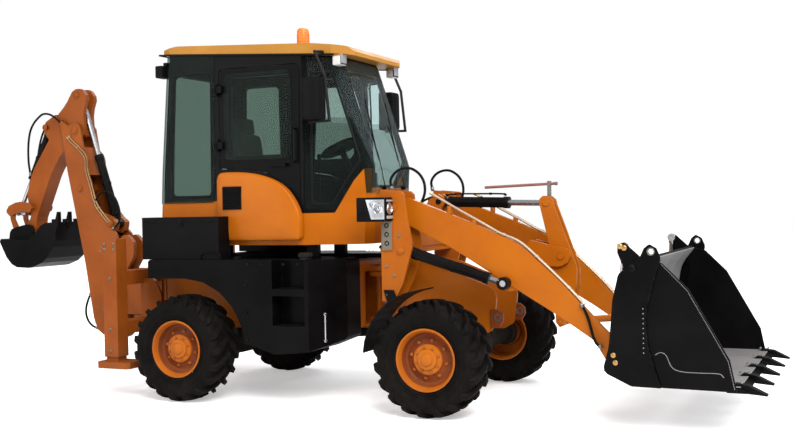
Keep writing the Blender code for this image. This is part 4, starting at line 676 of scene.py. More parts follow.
def smooth_path(points, per_span=6):
    """A Catmull-Rom line through the points."""
    points = [Vector(p) for p in points]
    ends = [points[0] * 2.0 - points[1]] + points + [points[-1] * 2.0 - points[-2]]
    path = []
    for i in range(1, len(ends) - 2):
        p0, p1, p2, p3 = ends[i - 1:i + 3]
        for k in range(per_span):
            t = k / per_span
            path.append(0.5 * ((2.0 * p1) + (p2 - p0) * t + (2.0 * p0 - 5.0 * p1 + 4.0 * p2 - p3) * t * t
                               + (3.0 * p1 - p0 - 3.0 * p2 + p3) * t * t * t))
    path.append(points[-1])
    return path


def add_collar(bm, end, toward, rows, steps):
    """A turned collar at a pipe's end, along the way to its next point."""
    axis = (toward - end).normalized()
    add_turned(bm, end, axis, rows, steps)


def hose(name, body, points, diameter):
    """A rubber hose from one fitting to the other, with a crimped ferrule at each end."""
    path = smooth_path([at(*p) for p in points])
    ends = bmesh.new()
    r = diameter / 2.0
    ferrule = [(0.0, r * 0.9), (0.008, r * 1.35), (0.010, r * 1.45), (0.034, r * 1.45), (0.038, r * 1.2),
               (0.038, r * 1.02)]
    for end, toward in ((path[0], path[1]), (path[-1], path[-2])):
        add_collar(ends, end, toward, [(along - FERRULE_OVERLAP, radius) for along, radius in ferrule], 12)
    fittings = finish_piece(name + "_fittings", ends, ["zinc"], body)
    bm = bmesh.new()
    add_tube(bm, path, r, bpy.context.scene.loader_dressing.hose_sides)
    piece = finish_piece(name, bm, ["hose_rubber"], body, 60.0)


# Geometry nodes

def scatter_group(name):
    """Copies of one object on a mesh's points, turned as each point's 'turn' attribute says."""
    group = bpy.data.node_groups.new(name, "GeometryNodeTree")
    for label, kind, way in (("Points", "NodeSocketGeometry", "INPUT"), ("Pattern", "NodeSocketObject", "INPUT"),
                             ("Size", "NodeSocketFloat", "INPUT"), ("Material", "NodeSocketMaterial", "INPUT"),
                             ("Geometry", "NodeSocketGeometry", "OUTPUT")):
        group.interface.new_socket(name=label, in_out=way, socket_type=kind)
    start = add_node(group, "NodeGroupInput")
    end = add_node(group, "NodeGroupOutput")
    link = group.links.new
    pattern = add_node(group, "GeometryNodeObjectInfo")
    turn = add_node(group, "GeometryNodeInputNamedAttribute", data_type="FLOAT_VECTOR")
    turn.inputs["Name"].default_value = "turn"
    copies = add_node(group, "GeometryNodeInstanceOnPoints")
    real = add_node(group, "GeometryNodeRealizeInstances")
    painted = add_node(group, "GeometryNodeSetMaterial")
    link(start.outputs["Pattern"], pattern.inputs["Object"])
    link(start.outputs["Points"], copies.inputs["Points"])
    link(pattern.outputs["Geometry"], copies.inputs["Instance"])
    link([s for s in turn.outputs if s.enabled][0], copies.inputs["Rotation"])
    link(start.outputs["Size"], copies.inputs["Scale"])
    link(copies.outputs["Instances"], real.inputs["Geometry"])
    link(real.outputs["Geometry"], painted.inputs["Geometry"])
    link(start.outputs["Material"], painted.inputs["Material"])
    link(painted.outputs["Geometry"], end.inputs["Geometry"])
    return group


def scatter(name, pattern, spots, material, body, size=1.0, smooth=38.0):
    """One plain mesh of copies of a pattern object; spots are (place, euler turn)."""
    mesh = bpy.data.meshes.new(name + "_points")
    mesh.from_pydata([tuple(place) for place, _ in spots], [], [])
    turns = mesh.attributes.new("turn", "FLOAT_VECTOR", "POINT")
    turns.data.foreach_set("vector", [angle for _, turn in spots for angle in turn])
    holder = new_object(name + "_points", mesh)
    modifier = holder.modifiers.new("Copies", "NODES")
    modifier.node_group = GROUPS["scatter"]
    sockets = {item.name: item.identifier for item in GROUPS["scatter"].interface.items_tree
               if item.item_type == "SOCKET" and item.in_out == "INPUT"}
    modifier[sockets["Pattern"]] = pattern
    modifier[sockets["Size"]] = float(size)
    modifier[sockets["Material"]] = MATERIALS[material]
    bpy.context.view_layer.update()
    depsgraph = bpy.context.evaluated_depsgraph_get()
    result = bpy.data.meshes.new_from_object(holder.evaluated_get(depsgraph), depsgraph=depsgraph)
    bpy.data.objects.remove(holder)
    if not result.polygons:
        raise RuntimeError(f"{name}: the copies came out empty")
    bm = bmesh.new()
    bm.from_mesh(result)
    bpy.data.meshes.remove(result)
    for face in bm.faces:
        face.material_index = 0
    return finish_piece(name, bm, [material], body, smooth)


def turn_to(direction, spin=0.0):
    """Euler turn that carries +Z to a direction."""
    quaternion = Vector(direction).normalized().to_track_quat("Z", "Y")
    return (quaternion.to_matrix() @ Matrix.Rotation(spin, 3, "Z")).to_euler()


def make_pattern(name, bm):
    """A mesh to be scattered, off the stage once it is used."""
    return new_object(name, clean_mesh(name, bm, 1e-7))


def turned_pattern(name, *forms):
    """A pattern of forms turned about Z; each is (rows, steps)."""
    bm = bmesh.new()
    for rows, steps in forms:
        add_turned(bm, Vector(), (0, 0, 1), rows, steps)
    return make_pattern(name, bm)


def bolt_pattern():
    """Hex head of unit size on a washer, with its chamfer and a stub of thread."""
    turned_pattern("bolt_pattern", ([(-0.001, 1.0), (0.159, 1.0), (0.199, 0.93)], 16),
                   ([(0.10, 0.80), (0.66, 0.80), (0.76, 0.70)], 6),
                   ([(0.60, 0.40), (1.02, 0.40), (1.08, 0.33)], 10))


def bolts(name, spots, radius, material, body, slot="cast_metal"):
    """Hex bolts; spots are ((x, y, z), direction)."""
    placed = [(at(*place), turn_to(direction, 0.4 + 0.7 * i)) for i, (place, direction) in enumerate(spots)]
    scatter(name, bpy.data.objects["bolt_pattern"], placed, material, body, radius)


def treads(name, pattern, x, y, z, counts, steps):
    """Rows of raised treads on a flat, from a corner outwards."""
    spots = [(at(x + steps[0] * i, math.copysign(abs(y) + steps[1] * j, y), level), (0.0, 0.0, 0.4 + 1.57 * (i + j)))
             for level in z for i in range(counts[0]) for j in range(counts[1])]
    scatter(name, pattern, spots, "tank_black", "machine")


# Wheels

TYRE_ROWS = [(-0.150, 0.2565), (-0.162, 0.268), (-0.172, 0.292), (-0.184, 0.330), (-0.1885, 0.362),
             (-0.186, 0.388), (-0.176, 0.410), (-0.160, 0.424), (-0.120, 0.432), (-0.060, 0.437),
             (0.0, 0.438)]


def every_turn(pitch):
    """The angles of a full turn, one pitch apart."""
    return [pitch * k for k in range(round(TURN / pitch))]


def tyre_half_height(y):
    """Tread radius at a distance from the middle."""
    rows = [(-r[0], r[1]) for r in reversed(TYRE_ROWS)]
    for (y0, r0), (y1, r1) in zip(rows, rows[1:]):
        if y0 <= y <= y1:
            return r0 + (r1 - r0) * (y - y0) / max(y1 - y0, 1e-9)
    return rows[-1][1]


def lug_pattern(side):
    """One tread bar from the middle out over the shoulder, at the top of the wheel."""
    bm = bmesh.new()
    rows = []
    stations = [(0.004, 0.4735, 0.022, 0.014), (0.030, 0.4745, 0.024, 0.016), (0.080, 0.4735, 0.027, 0.018),
                (0.130, 0.4690, 0.031, 0.021), (0.158, 0.4610, 0.034, 0.023), (0.178, 0.4420, 0.035, 0.023),
                (0.1885, 0.4150, 0.030, 0.019), (0.1895, 0.3930, 0.022, 0.013)]
    for y, top, foot, head in stations:
        base = min(tyre_half_height(min(y, 0.186)), top) - 0.010
        lead = 0.30 * (y / 0.19) ** 0.9
        row = []
        for radius, half in ((base, foot), (top, head), (top, -head), (base, -foot)):
            angle = lead + half / radius
            place = y - 0.012 if radius != top and y > 0.15 else y
            row.append(bm.verts.new((radius * math.sin(angle), side * place, radius * math.cos(angle))))
        rows.append(row)
    for first, second in zip(rows, rows[1:]):
        bridge(bm, first, second)
    bm.faces.new(rows[0])
    bm.faces.new(list(reversed(rows[-1])))
    return make_pattern(f"lug_pattern_{'a' if side > 0 else 'b'}", bm)


def make_tyre(axle, side_name, side, patterns):
    """Carcass with rolled sidewall lines, and two rows of lugs."""
    body = f"wheel_{axle}_{side_name}"
    centre = at(WHEEL_X[axle], side * WHEEL_Y, WHEEL_Z)
    bm = bmesh.new()
    outer = TYRE_ROWS + [(-y, r) for y, r in reversed(TYRE_ROWS[:-1])]
    inner = [(0.146, 0.2560), (0.100, 0.300), (-0.100, 0.300), (-0.146, 0.2560)]
    add_ring(bm, centre, (0, 1, 0), outer + inner, 72)
    for y_side in (-1.0, 1.0):
        for radius, y, width in ((0.300, 0.1765, 0.0020), (0.345, 0.1872, 0.0016), (0.281, 0.1700, 0.0022)):
            ring = [(y_side * (y - 0.004), radius - 0.004), (y_side * (y + width), radius - 0.002),
                    (y_side * (y + width), radius + 0.002), (y_side * (y - 0.004), radius + 0.004)]
            add_ring(bm, centre, (0, 1, 0), ring, 60)
    tyre = finish_piece(f"tyre_body_{axle}_{side_name}", bm, ["tyre_rubber"], body, 50.0)
    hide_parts(f"tyre_{axle}_{side_name}")
    pitch = TURN / bpy.context.scene.loader_dressing.lug_count
    for label, pattern, start in (("out", patterns[1.0], 0.0), ("in", patterns[-1.0], pitch / 2.0)):
        spots = [(centre, (0.0, start + angle, 0.0)) for angle in every_turn(pitch)]
        scatter(f"tread_{label}_{axle}_{side_name}", pattern, spots, "tyre_rubber", body, 1.0, 25.0)


def make_rim(axle, side_name, side):
    """Pressed rim with a rolled flange, a deep dish and a hub with its cover."""
    body = f"wheel_{axle}_{side_name}"
    centre = at(WHEEL_X[axle], side * WHEEL_Y, WHEEL_Z)
    axis = (0, side, 0)
    bm = bmesh.new()
    rows = [(-0.164, 0.242), (-0.1645, 0.2535), (-0.158, 0.2555), (-0.150, 0.2500), (-0.145, 0.2360),
            (-0.060, 0.2280), (0.060, 0.2280), (0.145, 0.2360), (0.150, 0.2500), (0.157, 0.2558),
            (0.1625, 0.2545), (0.1645, 0.2480), (0.163, 0.2405), (0.157, 0.2370), (0.140, 0.2290),
            (0.120, 0.2200), (0.088, 0.2140), (0.070, 0.2060), (0.062, 0.1920), (0.064, 0.1700),
            (0.074, 0.1500), (0.080, 0.1310), (0.080, 0.1180), (0.066, 0.1180), (0.060, 0.1300),
            (0.048, 0.1600), (0.044, 0.2000), (0.030, 0.2180), (-0.140, 0.2240), (-0.158, 0.2380)]
    # The dish's inner rows take the darker orange, painted shade where the flange shades the recess
    dish_shade_rows = [1 if 15 <= k <= 23 else 0 for k in range(len(rows))]
    add_ring(bm, centre, axis, rows, 64, dish_shade_rows)
    hub = [(0.030, 0.126), (0.100, 0.126), (0.108, 0.120), (0.110, 0.112), (0.112, 0.086), (0.126, 0.082),
           (0.129, 0.076), (0.129, 0.052), (0.138, 0.048), (0.144, 0.038), (0.146, 0.0)]
    add_turned(bm, centre, axis, hub, 40)
    rim = finish_piece(f"rim_body_{axle}_{side_name}", bm, ["rim_paint", "dish_shade_paint"], body, 34.0)
    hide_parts(f"rim_{axle}_{side_name}")
    for label, radius, out, start, size in (("wheel_nuts", 0.155, 0.0705, 0.2, 0.0165),
                                            ("hub_bolts", 0.099, 0.1105, 0.5, 0.0120)):
        spots = [((WHEEL_X[axle] + radius * math.sin(start + angle), side * (WHEEL_Y + out),
                   WHEEL_Z + radius * math.cos(start + angle)), axis) for angle in every_turn(TURN / 8)]
        bolts(f"{label}_{axle}_{side_name}", spots, size, "rim_paint", body, "dark_orange")


def make_wheels():
    """All four wheels."""
    patterns = {1.0: lug_pattern(1.0), -1.0: lug_pattern(-1.0)}
    for axle in WHEEL_X:
        for side_name, side in SIDES:
            make_tyre(axle, side_name, side, {key: patterns[key * side] for key in patterns})
            make_rim(axle, side_name, side)
    for pattern in patterns.values():
        bpy.data.objects.remove(pattern)


# Cab

def cushion(name, centre, size, turn, crown, body):
    """A crowned pad with piped seams and sewn channels, as one closed mesh."""
    bm = bmesh.new()
    bmesh.ops.create_cube(bm, size=1.0)
    bmesh.ops.subdivide_edges(bm, edges=bm.edges, cuts=13, use_grid_fill=True)
    sx, sy, sz = size
    for vert in bm.verts:
        x, y, z = vert.co * 2.0
        round_in = (1.0 - 0.16 * (abs(z) ** 3)) * (1.0 - 0.05 * (abs(x * y)) ** 4)
        swell = (1.0 - abs(x) ** 2.6) * (1.0 - abs(y) ** 2.6)
        channel = 0.0
        for line in (-0.42, 0.0, 0.42):
            channel += math.exp(-((y - line) / 0.045) ** 2)
        border = math.exp(-((max(abs(x), abs(y)) - 0.80) / 0.05) ** 2)
        top = z if z < 0 else z * (0.80 + crown * swell - 0.10 * channel * swell - 0.10 * border)
        vert.co = Vector((x * round_in * sx / 2.0, y * round_in * sy / 2.0, top * sz / 2.0))
    bmesh.ops.smooth_vert(bm, verts=bm.verts, factor=0.3, use_axis_x=True, use_axis_y=True, use_axis_z=True)
    bmesh.ops.rotate(bm, verts=bm.verts, matrix=Matrix.Rotation(turn, 3, "Y"))
    bmesh.ops.translate(bm, verts=bm.verts, vec=at(*centre))
    piece = finish_piece(name, bm, ["seat_cover"], body, 60.0)
    rounder = piece.modifiers.new("Round", "SUBSURF")
    rounder.levels = 1
    rounder.render_levels = 1
    return piece


def make_seat():
    """Bellows stand, pan, side stays and three cushions."""
    base = bmesh.new()
    add_box(base, (0.190, -0.150, 1.6010), (0.510, 0.150, 1.640), 0, 0.006)
    for k in range(7):
        z = 1.642 + 0.033 * k
        inset = 0.012 if k % 2 else 0.0
        add_box(base, (0.200 + inset, -0.140 + inset, z), (0.500 - inset, 0.140 - inset, z + 0.032), 0, 0.010)
    add_box(base, (0.150, -0.215, 1.872), (0.600, 0.215, 1.896), 0, 0.006)
    for side in (-1.0, 1.0):
        add_tube(base, [at(0.16, side * 0.205, 1.885), at(0.10, side * 0.212, 2.10), at(0.05, side * 0.205, 2.44)],
                 0.010, 8)
    finish_piece("seat_base", base, ["plastic_black"], "machine")
    pad = cushion("seat_pad", (0.385, 0.0, 1.958), (0.500, 0.470, 0.125), 0.045, 0.30, "machine")
    recline = math.radians(82.5)
    cushion("seat_back", (0.118, 0.0, 2.215), (0.440, 0.450, 0.110), recline, 0.26, "machine")
    cushion("seat_head", (0.072, 0.0, 2.510), (0.150, 0.280, 0.090), recline, 0.26, "machine")
    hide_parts("seat")


def lofted_y(z, x):
    """Half width of the cab's shell at a height and length, from its sections."""
    for low, high in zip(CAB_SECTIONS, CAB_SECTIONS[1:]):
        if low[0] <= z <= high[0]:
            t = (z - low[0]) / (high[0] - low[0])
            front, half, nose, shoulder = (a + (b - a) * t for a, b in zip(low[1:], high[1:]))
            if x <= shoulder:
                return half
            return half + (nose - half) * (x - shoulder) / (front - shoulder)
    return CAB_SECTIONS[-1][2]


# z, front x, half width, half width at the nose, x where the taper starts
CAB_SECTIONS = [(1.380, 1.620, 0.650, 0.450, NOSE_START), (2.070, 1.660, 0.648, 0.450, NOSE_START),
                (3.300, 1.260, 0.622, 0.450, 1.060)]
SIDE_WINDOWS = {
    "quarter": [(1.150, 1.740), (1.320, 1.740), (1.475, 1.990), (1.560, 2.120), (1.310, 2.900), (1.150, 2.900)],
    "rear": [(-0.340, 1.830), (0.120, 1.830), (0.120, 2.960), (-0.300, 2.960)],
}


def make_cab_trim():
    """Window seals, hinges, lamps, mirrors and wipers."""
    bm = bmesh.new()
    for outline in SIDE_WINDOWS.values():
        for side in (-1.0, 1.0):
            loop = []
            for k, (x, z) in enumerate(outline):
                nx, nz = outline[(k + 1) % len(outline)]
                for t in (0.04, 0.35, 0.65, 0.96):
                    px, pz = x + (nx - x) * t, z + (nz - z) * t
                    loop.append(at(px, side * (lofted_y(pz, px) + 0.001), pz))
            add_tube(bm, loop + loop[:2], 0.010, 6)
    finish_piece("window_seals", bm, ["seal_rubber"], "machine", 70.0)

    bm = bmesh.new()
    for side in (-1.0, 1.0):
        for z in (2.29, 2.80):
            add_turned(bm, at(0.200, side * 0.672, z - 0.036), (0, 0, 1),
                       [(0.0, 0.012), (0.0, 0.016), (0.072, 0.016), (0.076, 0.010)], 14)
        side_box(bm, side, (1.372, 0.505, 2.962), (1.376, 0.605, 3.052), 0, 0.001)
    finish_piece("hinge_caps", bm, ["cab_black"], "machine")

    for side_name, side in SIDES:
        bm = bmesh.new()
        side_box(bm, side, (1.449, 0.505, 2.965), (1.456, 0.605, 3.050), 0, 0.003)
        for k in range(6):
            z = 2.975 + k * 0.012
            side_box(bm, side, (1.455, 0.511, z), (1.458, 0.599, z + 0.005), 0, 0.001)
        finish_piece(f"lamp_lens_{side_name}", bm, ["lens"], "machine")
        bm = bmesh.new()
        side_box(bm, side, (1.371, 0.500, 2.948), (1.449, 0.613, 3.028), 0, 0.008)
        finish_piece(f"lamp_case_{side_name}", bm, ["lamp_white"], "machine")
        bm = bmesh.new()
        side_box(bm, side, (-0.505, 0.500, 2.955), (-0.425, 0.630, 3.070), 0, 0.012)
        side_box(bm, side, (-0.440, 0.540, 3.060), (-0.400, 0.590, 3.100), 0, 0.006)
        for k in range(5):
            z = 2.968 + 0.018 * k
            side_box(bm, side, (-0.509, 0.510, z), (-0.503, 0.620, z + 0.007), 0, 0.001)
        finish_piece(f"rear_lamp_{side_name}", bm, ["plastic_black"], "machine")
        bm = bmesh.new()
        side_box(bm, side, (1.196, 0.692, 2.455), (1.352, 0.870, 2.836), 0, 0.042)
        side_box(bm, side, (1.190, 0.696, 2.463), (1.206, 0.866, 2.828), 0, 0.006)
        finish_piece(f"mirror_case_{side_name}", bm, ["plastic_black"], "machine", 50.0)
        bm = bmesh.new()
        side_box(bm, side, (1.1865, 0.708, 2.476), (1.1910, 0.854, 2.816), 0, 0.002)
        finish_piece(f"mirror_face_{side_name}", bm, ["mirror_face"], "machine")

    bm = bmesh.new()
    lean = -0.10
    for y in (-0.22, 0.20):
        foot, top = at(1.668, y, 1.875), at(1.560, y + lean, 2.46)
        add_turned(bm, at(1.648, y, 1.875), (1, 0, 0), [(0.0, 0.018), (0.030, 0.018), (0.036, 0.012)], 14)
        add_tube(bm, [foot + Vector((0.008, 0, 0)), foot + (top - foot) * 0.5 + Vector((0.020, 0, 0)), top],
                 0.005, 6)
        blade = [foot + (top - foot) * 0.42 + Vector((0.010, 0, 0)), top + Vector((0.002, lean * 0.5, 0.20))]
        add_tube(bm, blade, 0.006, 4)
    finish_piece("wipers", bm, ["cab_black"], "machine")


def make_controls():
    """Steering wheel, column, dash and levers, seen through the glass."""
    bm = bmesh.new()
    centre = at(1.120, 0.0, 2.262)
    axis, a, b = directions((-0.45, 0.0, 0.89))
    rim = circle(centre, a, b, 0.188, 36)
    add_tube(bm, rim + rim[:2], 0.013, 10)
    for angle in every_turn(TURN / 3):
        end = centre + (a * math.cos(angle + 0.5) + b * math.sin(angle + 0.5)) * 0.186
        add_tube(bm, [centre - axis * 0.018, end], 0.009, 8)
    add_turned(bm, centre - axis * 0.040, axis, [(0.0, 0.030), (0.0, 0.044), (0.045, 0.044), (0.055, 0.030)], 20)
    knob = centre + a * 0.1786
    add_tube(bm, [knob + axis * 0.004, knob + axis * 0.050], 0.018, 10)
    finish_piece("steering_wheel", bm, ["plastic_black"], "machine")

    bm = bmesh.new()
    levers = ((0.72, -0.30, 2.16), (0.66, -0.34, 2.14), (0.60, -0.31, 2.15), (0.72, 0.30, 2.18))
    for k, (x, y, top) in enumerate(levers):
        add_box(bm, (x - 0.05, y - 0.04, 1.601), (x + 0.05, y + 0.04, 1.66), 0, 0.01)
        add_turned(bm, at(x, y, 1.655), (0, 0, 1), [(0.0, 0.040), (0.02, 0.034), (0.04, 0.026), (0.06, 0.016)], 14)
        add_tube(bm, [at(x, y, 1.68), at(x + 0.01, y, 1.90), at(x - 0.02 + 0.01 * k, y, top)], 0.007, 8)
        add_turned(bm, at(x - 0.02 + 0.01 * k, y, top - 0.02), (0, 0, 1),
                   [(0.0, 0.010), (0.010, 0.018), (0.045, 0.022), (0.066, 0.015), (0.070, 0.0)], 14)
    for y in (-0.16, 0.10, 0.20):
        add_box(bm, (1.02, y - 0.035, 1.640), (1.10, y + 0.035, 1.652), 0, 0.004)
        add_tube(bm, [at(1.06, y, 1.645), at(1.16, y, 1.612)], 0.008, 6)
    finish_piece("cab_levers", bm, ["plastic_black"], "machine")

    bm = bmesh.new()
    dial = [(0.0, 0.0), (0.0, 0.022), (0.006, 0.024), (0.008, 0.020), (0.004, 0.018), (0.004, 0.0)]
    for row in range(2):
        for k in range(4):
            add_turned(bm, at(1.178, -0.105 + 0.07 * k, 1.90 + 0.055 * row), (-1, 0, 0), dial, 18)
    finish_piece("dials", bm, ["lens"], "machine")


def cover_shell(side):
    """The moulded side cover: a smooth arched outline with a rounded edge and a gentle bulge."""
    corner = [(0.217, 1.460), (0.217, 1.600), (0.217, 1.800), (0.218, 1.960), (0.224, 2.008), (0.246, 2.034),
              (0.300, 2.042), (0.380, 2.042), (0.468, 2.039), (0.580, 2.026), (0.700, 1.998), (0.825, 1.950),
              (0.937, 1.872), (1.020, 1.760), (1.062, 1.660), (1.076, 1.580), (1.076, 1.500), (1.074, 1.455),
              (1.060, 1.432), (1.030, 1.424), (0.900, 1.424), (0.640, 1.424), (0.380, 1.424), (0.262, 1.424),
              (0.230, 1.432)]
    closed = smooth_path([Vector((x, 0.0, z)) for x, z in corner + corner[:1]], 3)
    outline = [Vector((point.x, point.z)) for point in closed[:-1]]
    middle = Vector((0.600, 1.700))
    bm = bmesh.new()
    rings = []
    for inset, y in ((0.0, COVER_HALF), (0.0, 0.706), (0.006, 0.717), (0.016, 0.7225), (0.060, 0.727), (0.140, 0.732),
                     (0.260, 0.736)):
        ring = []
        for point in outline:
            toward = middle - point
            moved = point + toward.normalized() * min(inset, toward.length * 0.95)
            ring.append(bm.verts.new(at(moved.x, side * y, moved.y)))
        rings.append(ring)
    for first, second in zip(rings, rings[1:]):
        bridge(bm, first, second)
    for ring, y in ((rings[0], COVER_HALF), (rings[-1], 0.737)):
        bridge(bm, ring, [bm.verts.new(at(middle.x, side * y, middle.y))])
    return bm


def make_covers():
    """Moulded side covers with their louvres, and the roof's seam line."""
    for side_name, side in SIDES:
        finish_piece(f"side_cover_{side_name}", cover_shell(side), ["orange"], "machine", 60.0)
    slat = bmesh.new()
    add_turned(slat, Vector(), (1, 0, 0), [(-0.088, 0.004), (-0.086, 0.007), (0.086, 0.007), (0.088, 0.004)], 6)
    pattern = make_pattern("slat_pattern", slat)
    for side_name, side in SIDES:
        spots = [(at(0.3885, side * 0.7450, 1.722 + 0.0146 * k), (0.0, 0.0, 0.0)) for k in range(13)]
        scatter(f"louvre_slats_{side_name}", pattern, spots, "plastic_black", "machine")
        bm = bmesh.new()
        side_box(bm, side, (0.290, 0.7205, 1.704), (0.487, 0.7430, 1.912), 0, 0.002)
        finish_piece(f"louvre_plate_{side_name}", bm, ["plastic_black"], "machine")
    bpy.data.objects.remove(pattern)

    def seam_z(x):
        return ROOF_TOP - ROOF_FALL * (x + 0.7) - 0.010

    bm = bmesh.new()
    for side in (-1.0, 1.0):
        add_tube(bm, [at(x, side * 0.6415, seam_z(x)) for x in (-0.440, 0.2, 0.8, 1.400)], 0.008, 6)
    add_tube(bm, [at(-0.452, y, seam_z(-0.45)) for y in (-0.63, 0.0, 0.63)], 0.008, 6)
    finish_piece("roof_seam", bm, ["seal_rubber"], "machine", 70.0)


def make_beacon():
    """Black foot and a ribbed amber lens."""
    low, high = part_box("beacon")
    foot = Vector(((low.x + high.x) / 2.0, (low.y + high.y) / 2.0, low.z))
    bm = bmesh.new()
    add_turned(bm, foot, (0, 0, 1), [(0.0, 0.060), (0.012, 0.062), (0.034, 0.060), (0.040, 0.056), (0.040, 0.052)],
               32, 0)
    add_turned(bm, foot, (0, 0, 1), [(0.041, 0.052), (0.050, 0.058), (0.150, 0.057), (0.178, 0.056), (0.192, 0.051),
                                     (0.201, 0.040), (0.2045, 0.0)], 32, 1)
    for angle in every_turn(TURN / 24):
        rib = foot + Vector((math.cos(angle), math.sin(angle), 0.0)) * 0.0578
        add_tube(bm, [rib + Vector((0, 0, 0.060)), rib + Vector((0, 0, 0.150))], 0.0016, 4, 1)
    piece = finish_piece("beacon_lamp", bm, ["plastic_black", "amber"], "machine")
    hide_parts("beacon")


# Loader front

def pin_cap(bm, place, side, radius, out):
    """A pin's retained end: collar, chamfered head and a grease nipple."""
    add_turned(bm, at(*place), (0, side, 0), [(0.0, radius * 1.45), (out * 0.35, radius * 1.45),
                                              (out * 0.42, radius * 1.36)])
    add_turned(bm, at(*place), (0, side, 0), [(0.0, radius), (out * 0.9, radius), (out, radius * 0.86),
                                              (out, radius * 0.30), (out * 1.06, radius * 0.24), (out * 1.10, 0.0)])


def make_pins():
    """Pin ends with collars where the arms, rams and hoe turn."""
    tables = {
        "arms": ("orange", [(3.850, 0.571, 0.500, 0.034)]),
        "front": ("tower_orange", [(2.03, 0.706, 1.33, 0.024)]),
        "boom": ("hoe_orange", [(-1.92, 0.131, 2.56, 0.034), (-1.47, 0.131, 0.48, 0.034),
                                (-1.485, 0.131, 1.585, 0.026), (-1.860, 0.131, 1.950, 0.024)]),
        "dipper": ("hoe_orange", [(-1.919, 0.086, 2.926, 0.026), (-2.350, 0.086, 2.610, 0.022)]),
        "bucket": ("bucket_black", [(4.050, 1.0765, 1.220, 0.020)]),
    }
    for body, (finish, rows) in tables.items():
        for side_name, side in SIDES:
            bm = bmesh.new()
            for x, y, z, radius in rows:
                pin_cap(bm, (x, side * y, z), side, radius, 0.014)
            finish_piece(f"pin_ends_{body}_{side_name}", bm, [finish], body)


def make_headlamps():
    """Wrap-round lens with its reflectors, the housing's ribs, and the slotted bracket below."""
    for side_name, side in SIDES:
        out = (0, side, 0)
        bm = bmesh.new()
        side_box(bm, side, (1.9605, 0.709, 1.592), (1.9680, 0.846, 1.772), 0, 0.004)
        side_box(bm, side, (1.6950, 0.7075, 1.5805), (1.9615, 0.8560, 1.7845), 0, 0.008)
        for k in range(4):
            z = 1.622 + 0.034 * k
            side_box(bm, side, (1.715, 0.8550, z), (1.775, 0.8585, z + 0.010), 0, 0.001)
        side_plate(bm, side, [(1.772, 1.776), (1.966, 1.776), (1.966, 1.590), (1.826, 1.590)], 0.8552, 0.8600, 0, 0.002)
        finish_piece(f"lamp_rim_{side_name}", bm, ["plastic_black"], "front")
        bm = bmesh.new()
        side_plate(bm, side, [(1.786, 1.766), (1.958, 1.766), (1.958, 1.600), (1.836, 1.600)], 0.8590, 0.8650, 0, 0.003)
        for x, z, radius in ((1.905, 1.690, 0.050), (1.848, 1.722, 0.026)):
            add_turned(bm, at(x, side * 0.8640, z), out,
                       [(0.0, radius), (0.006, radius), (0.008, radius * 0.88), (0.003, radius * 0.80),
                        (0.001, radius * 0.35), (0.006, radius * 0.22), (0.007, 0.0)], 24, 1)
        for k in range(6):
            z = 1.612 + 0.007 * k
            side_box(bm, side, (1.845, 0.8645, z), (1.945, 0.8670, z + 0.003), 0, 0.0)
        add_turned(bm, at(1.9680, side * 0.790, 1.690), (1, 0, 0),
                   [(0.0, 0.052), (0.008, 0.052), (0.012, 0.044), (0.006, 0.040), (0.004, 0.018), (0.010, 0.0)], 26, 1)
        for low, high in ((1.604, 1.630), (1.748, 1.764)):
            near, far = sorted((side * 0.705, side * 0.850))
            add_box(bm, (1.9660, near + 0.012, low), (1.9720, far - 0.008, high), 0, 0.002)
        finish_piece(f"lamp_glass_{side_name}", bm, ["lens", "bright_rod"], "front")
        bm = bmesh.new()
        side_box(bm, side, (1.863, 0.7155, 1.338), (1.957, 0.7200, 1.596), 0, 0.002)
        for z in (1.395, 1.470, 1.545):
            add_turned(bm, at(1.910, side * 0.7195, z), out,
                       [(0.0, 0.021), (0.0025, 0.021), (0.0025, 0.013), (0.0, 0.012)], 18, 1)
        finish_piece(f"lamp_bracket_{side_name}", bm, ["bracket_grey", "plastic_black"], "front")


def hard_pipe(name, body, points, radius, material="pipe_pale", clips=()):
    """A steel pipe with a nut at each end and clips at some of its path's points."""
    bm = bmesh.new()
    path = smooth_path([at(*p) for p in points], 5)
    add_tube(bm, path, radius)
    for end, toward in ((path[0], path[1]), (path[-1], path[-2])):
        add_collar(bm, end, toward, [(0.0, radius * 1.7), (0.018, radius * 1.7), (0.024, radius * 1.3)], 6)
    for index in clips:
        direction = (path[index + 1] - path[index - 1]).normalized()
        add_turned(bm, path[index] - direction * 0.010, direction, [(0.0, radius * 1.5), (0.020, radius * 1.5)], 8)
    finish_piece(name, bm, [material], body, 50.0)


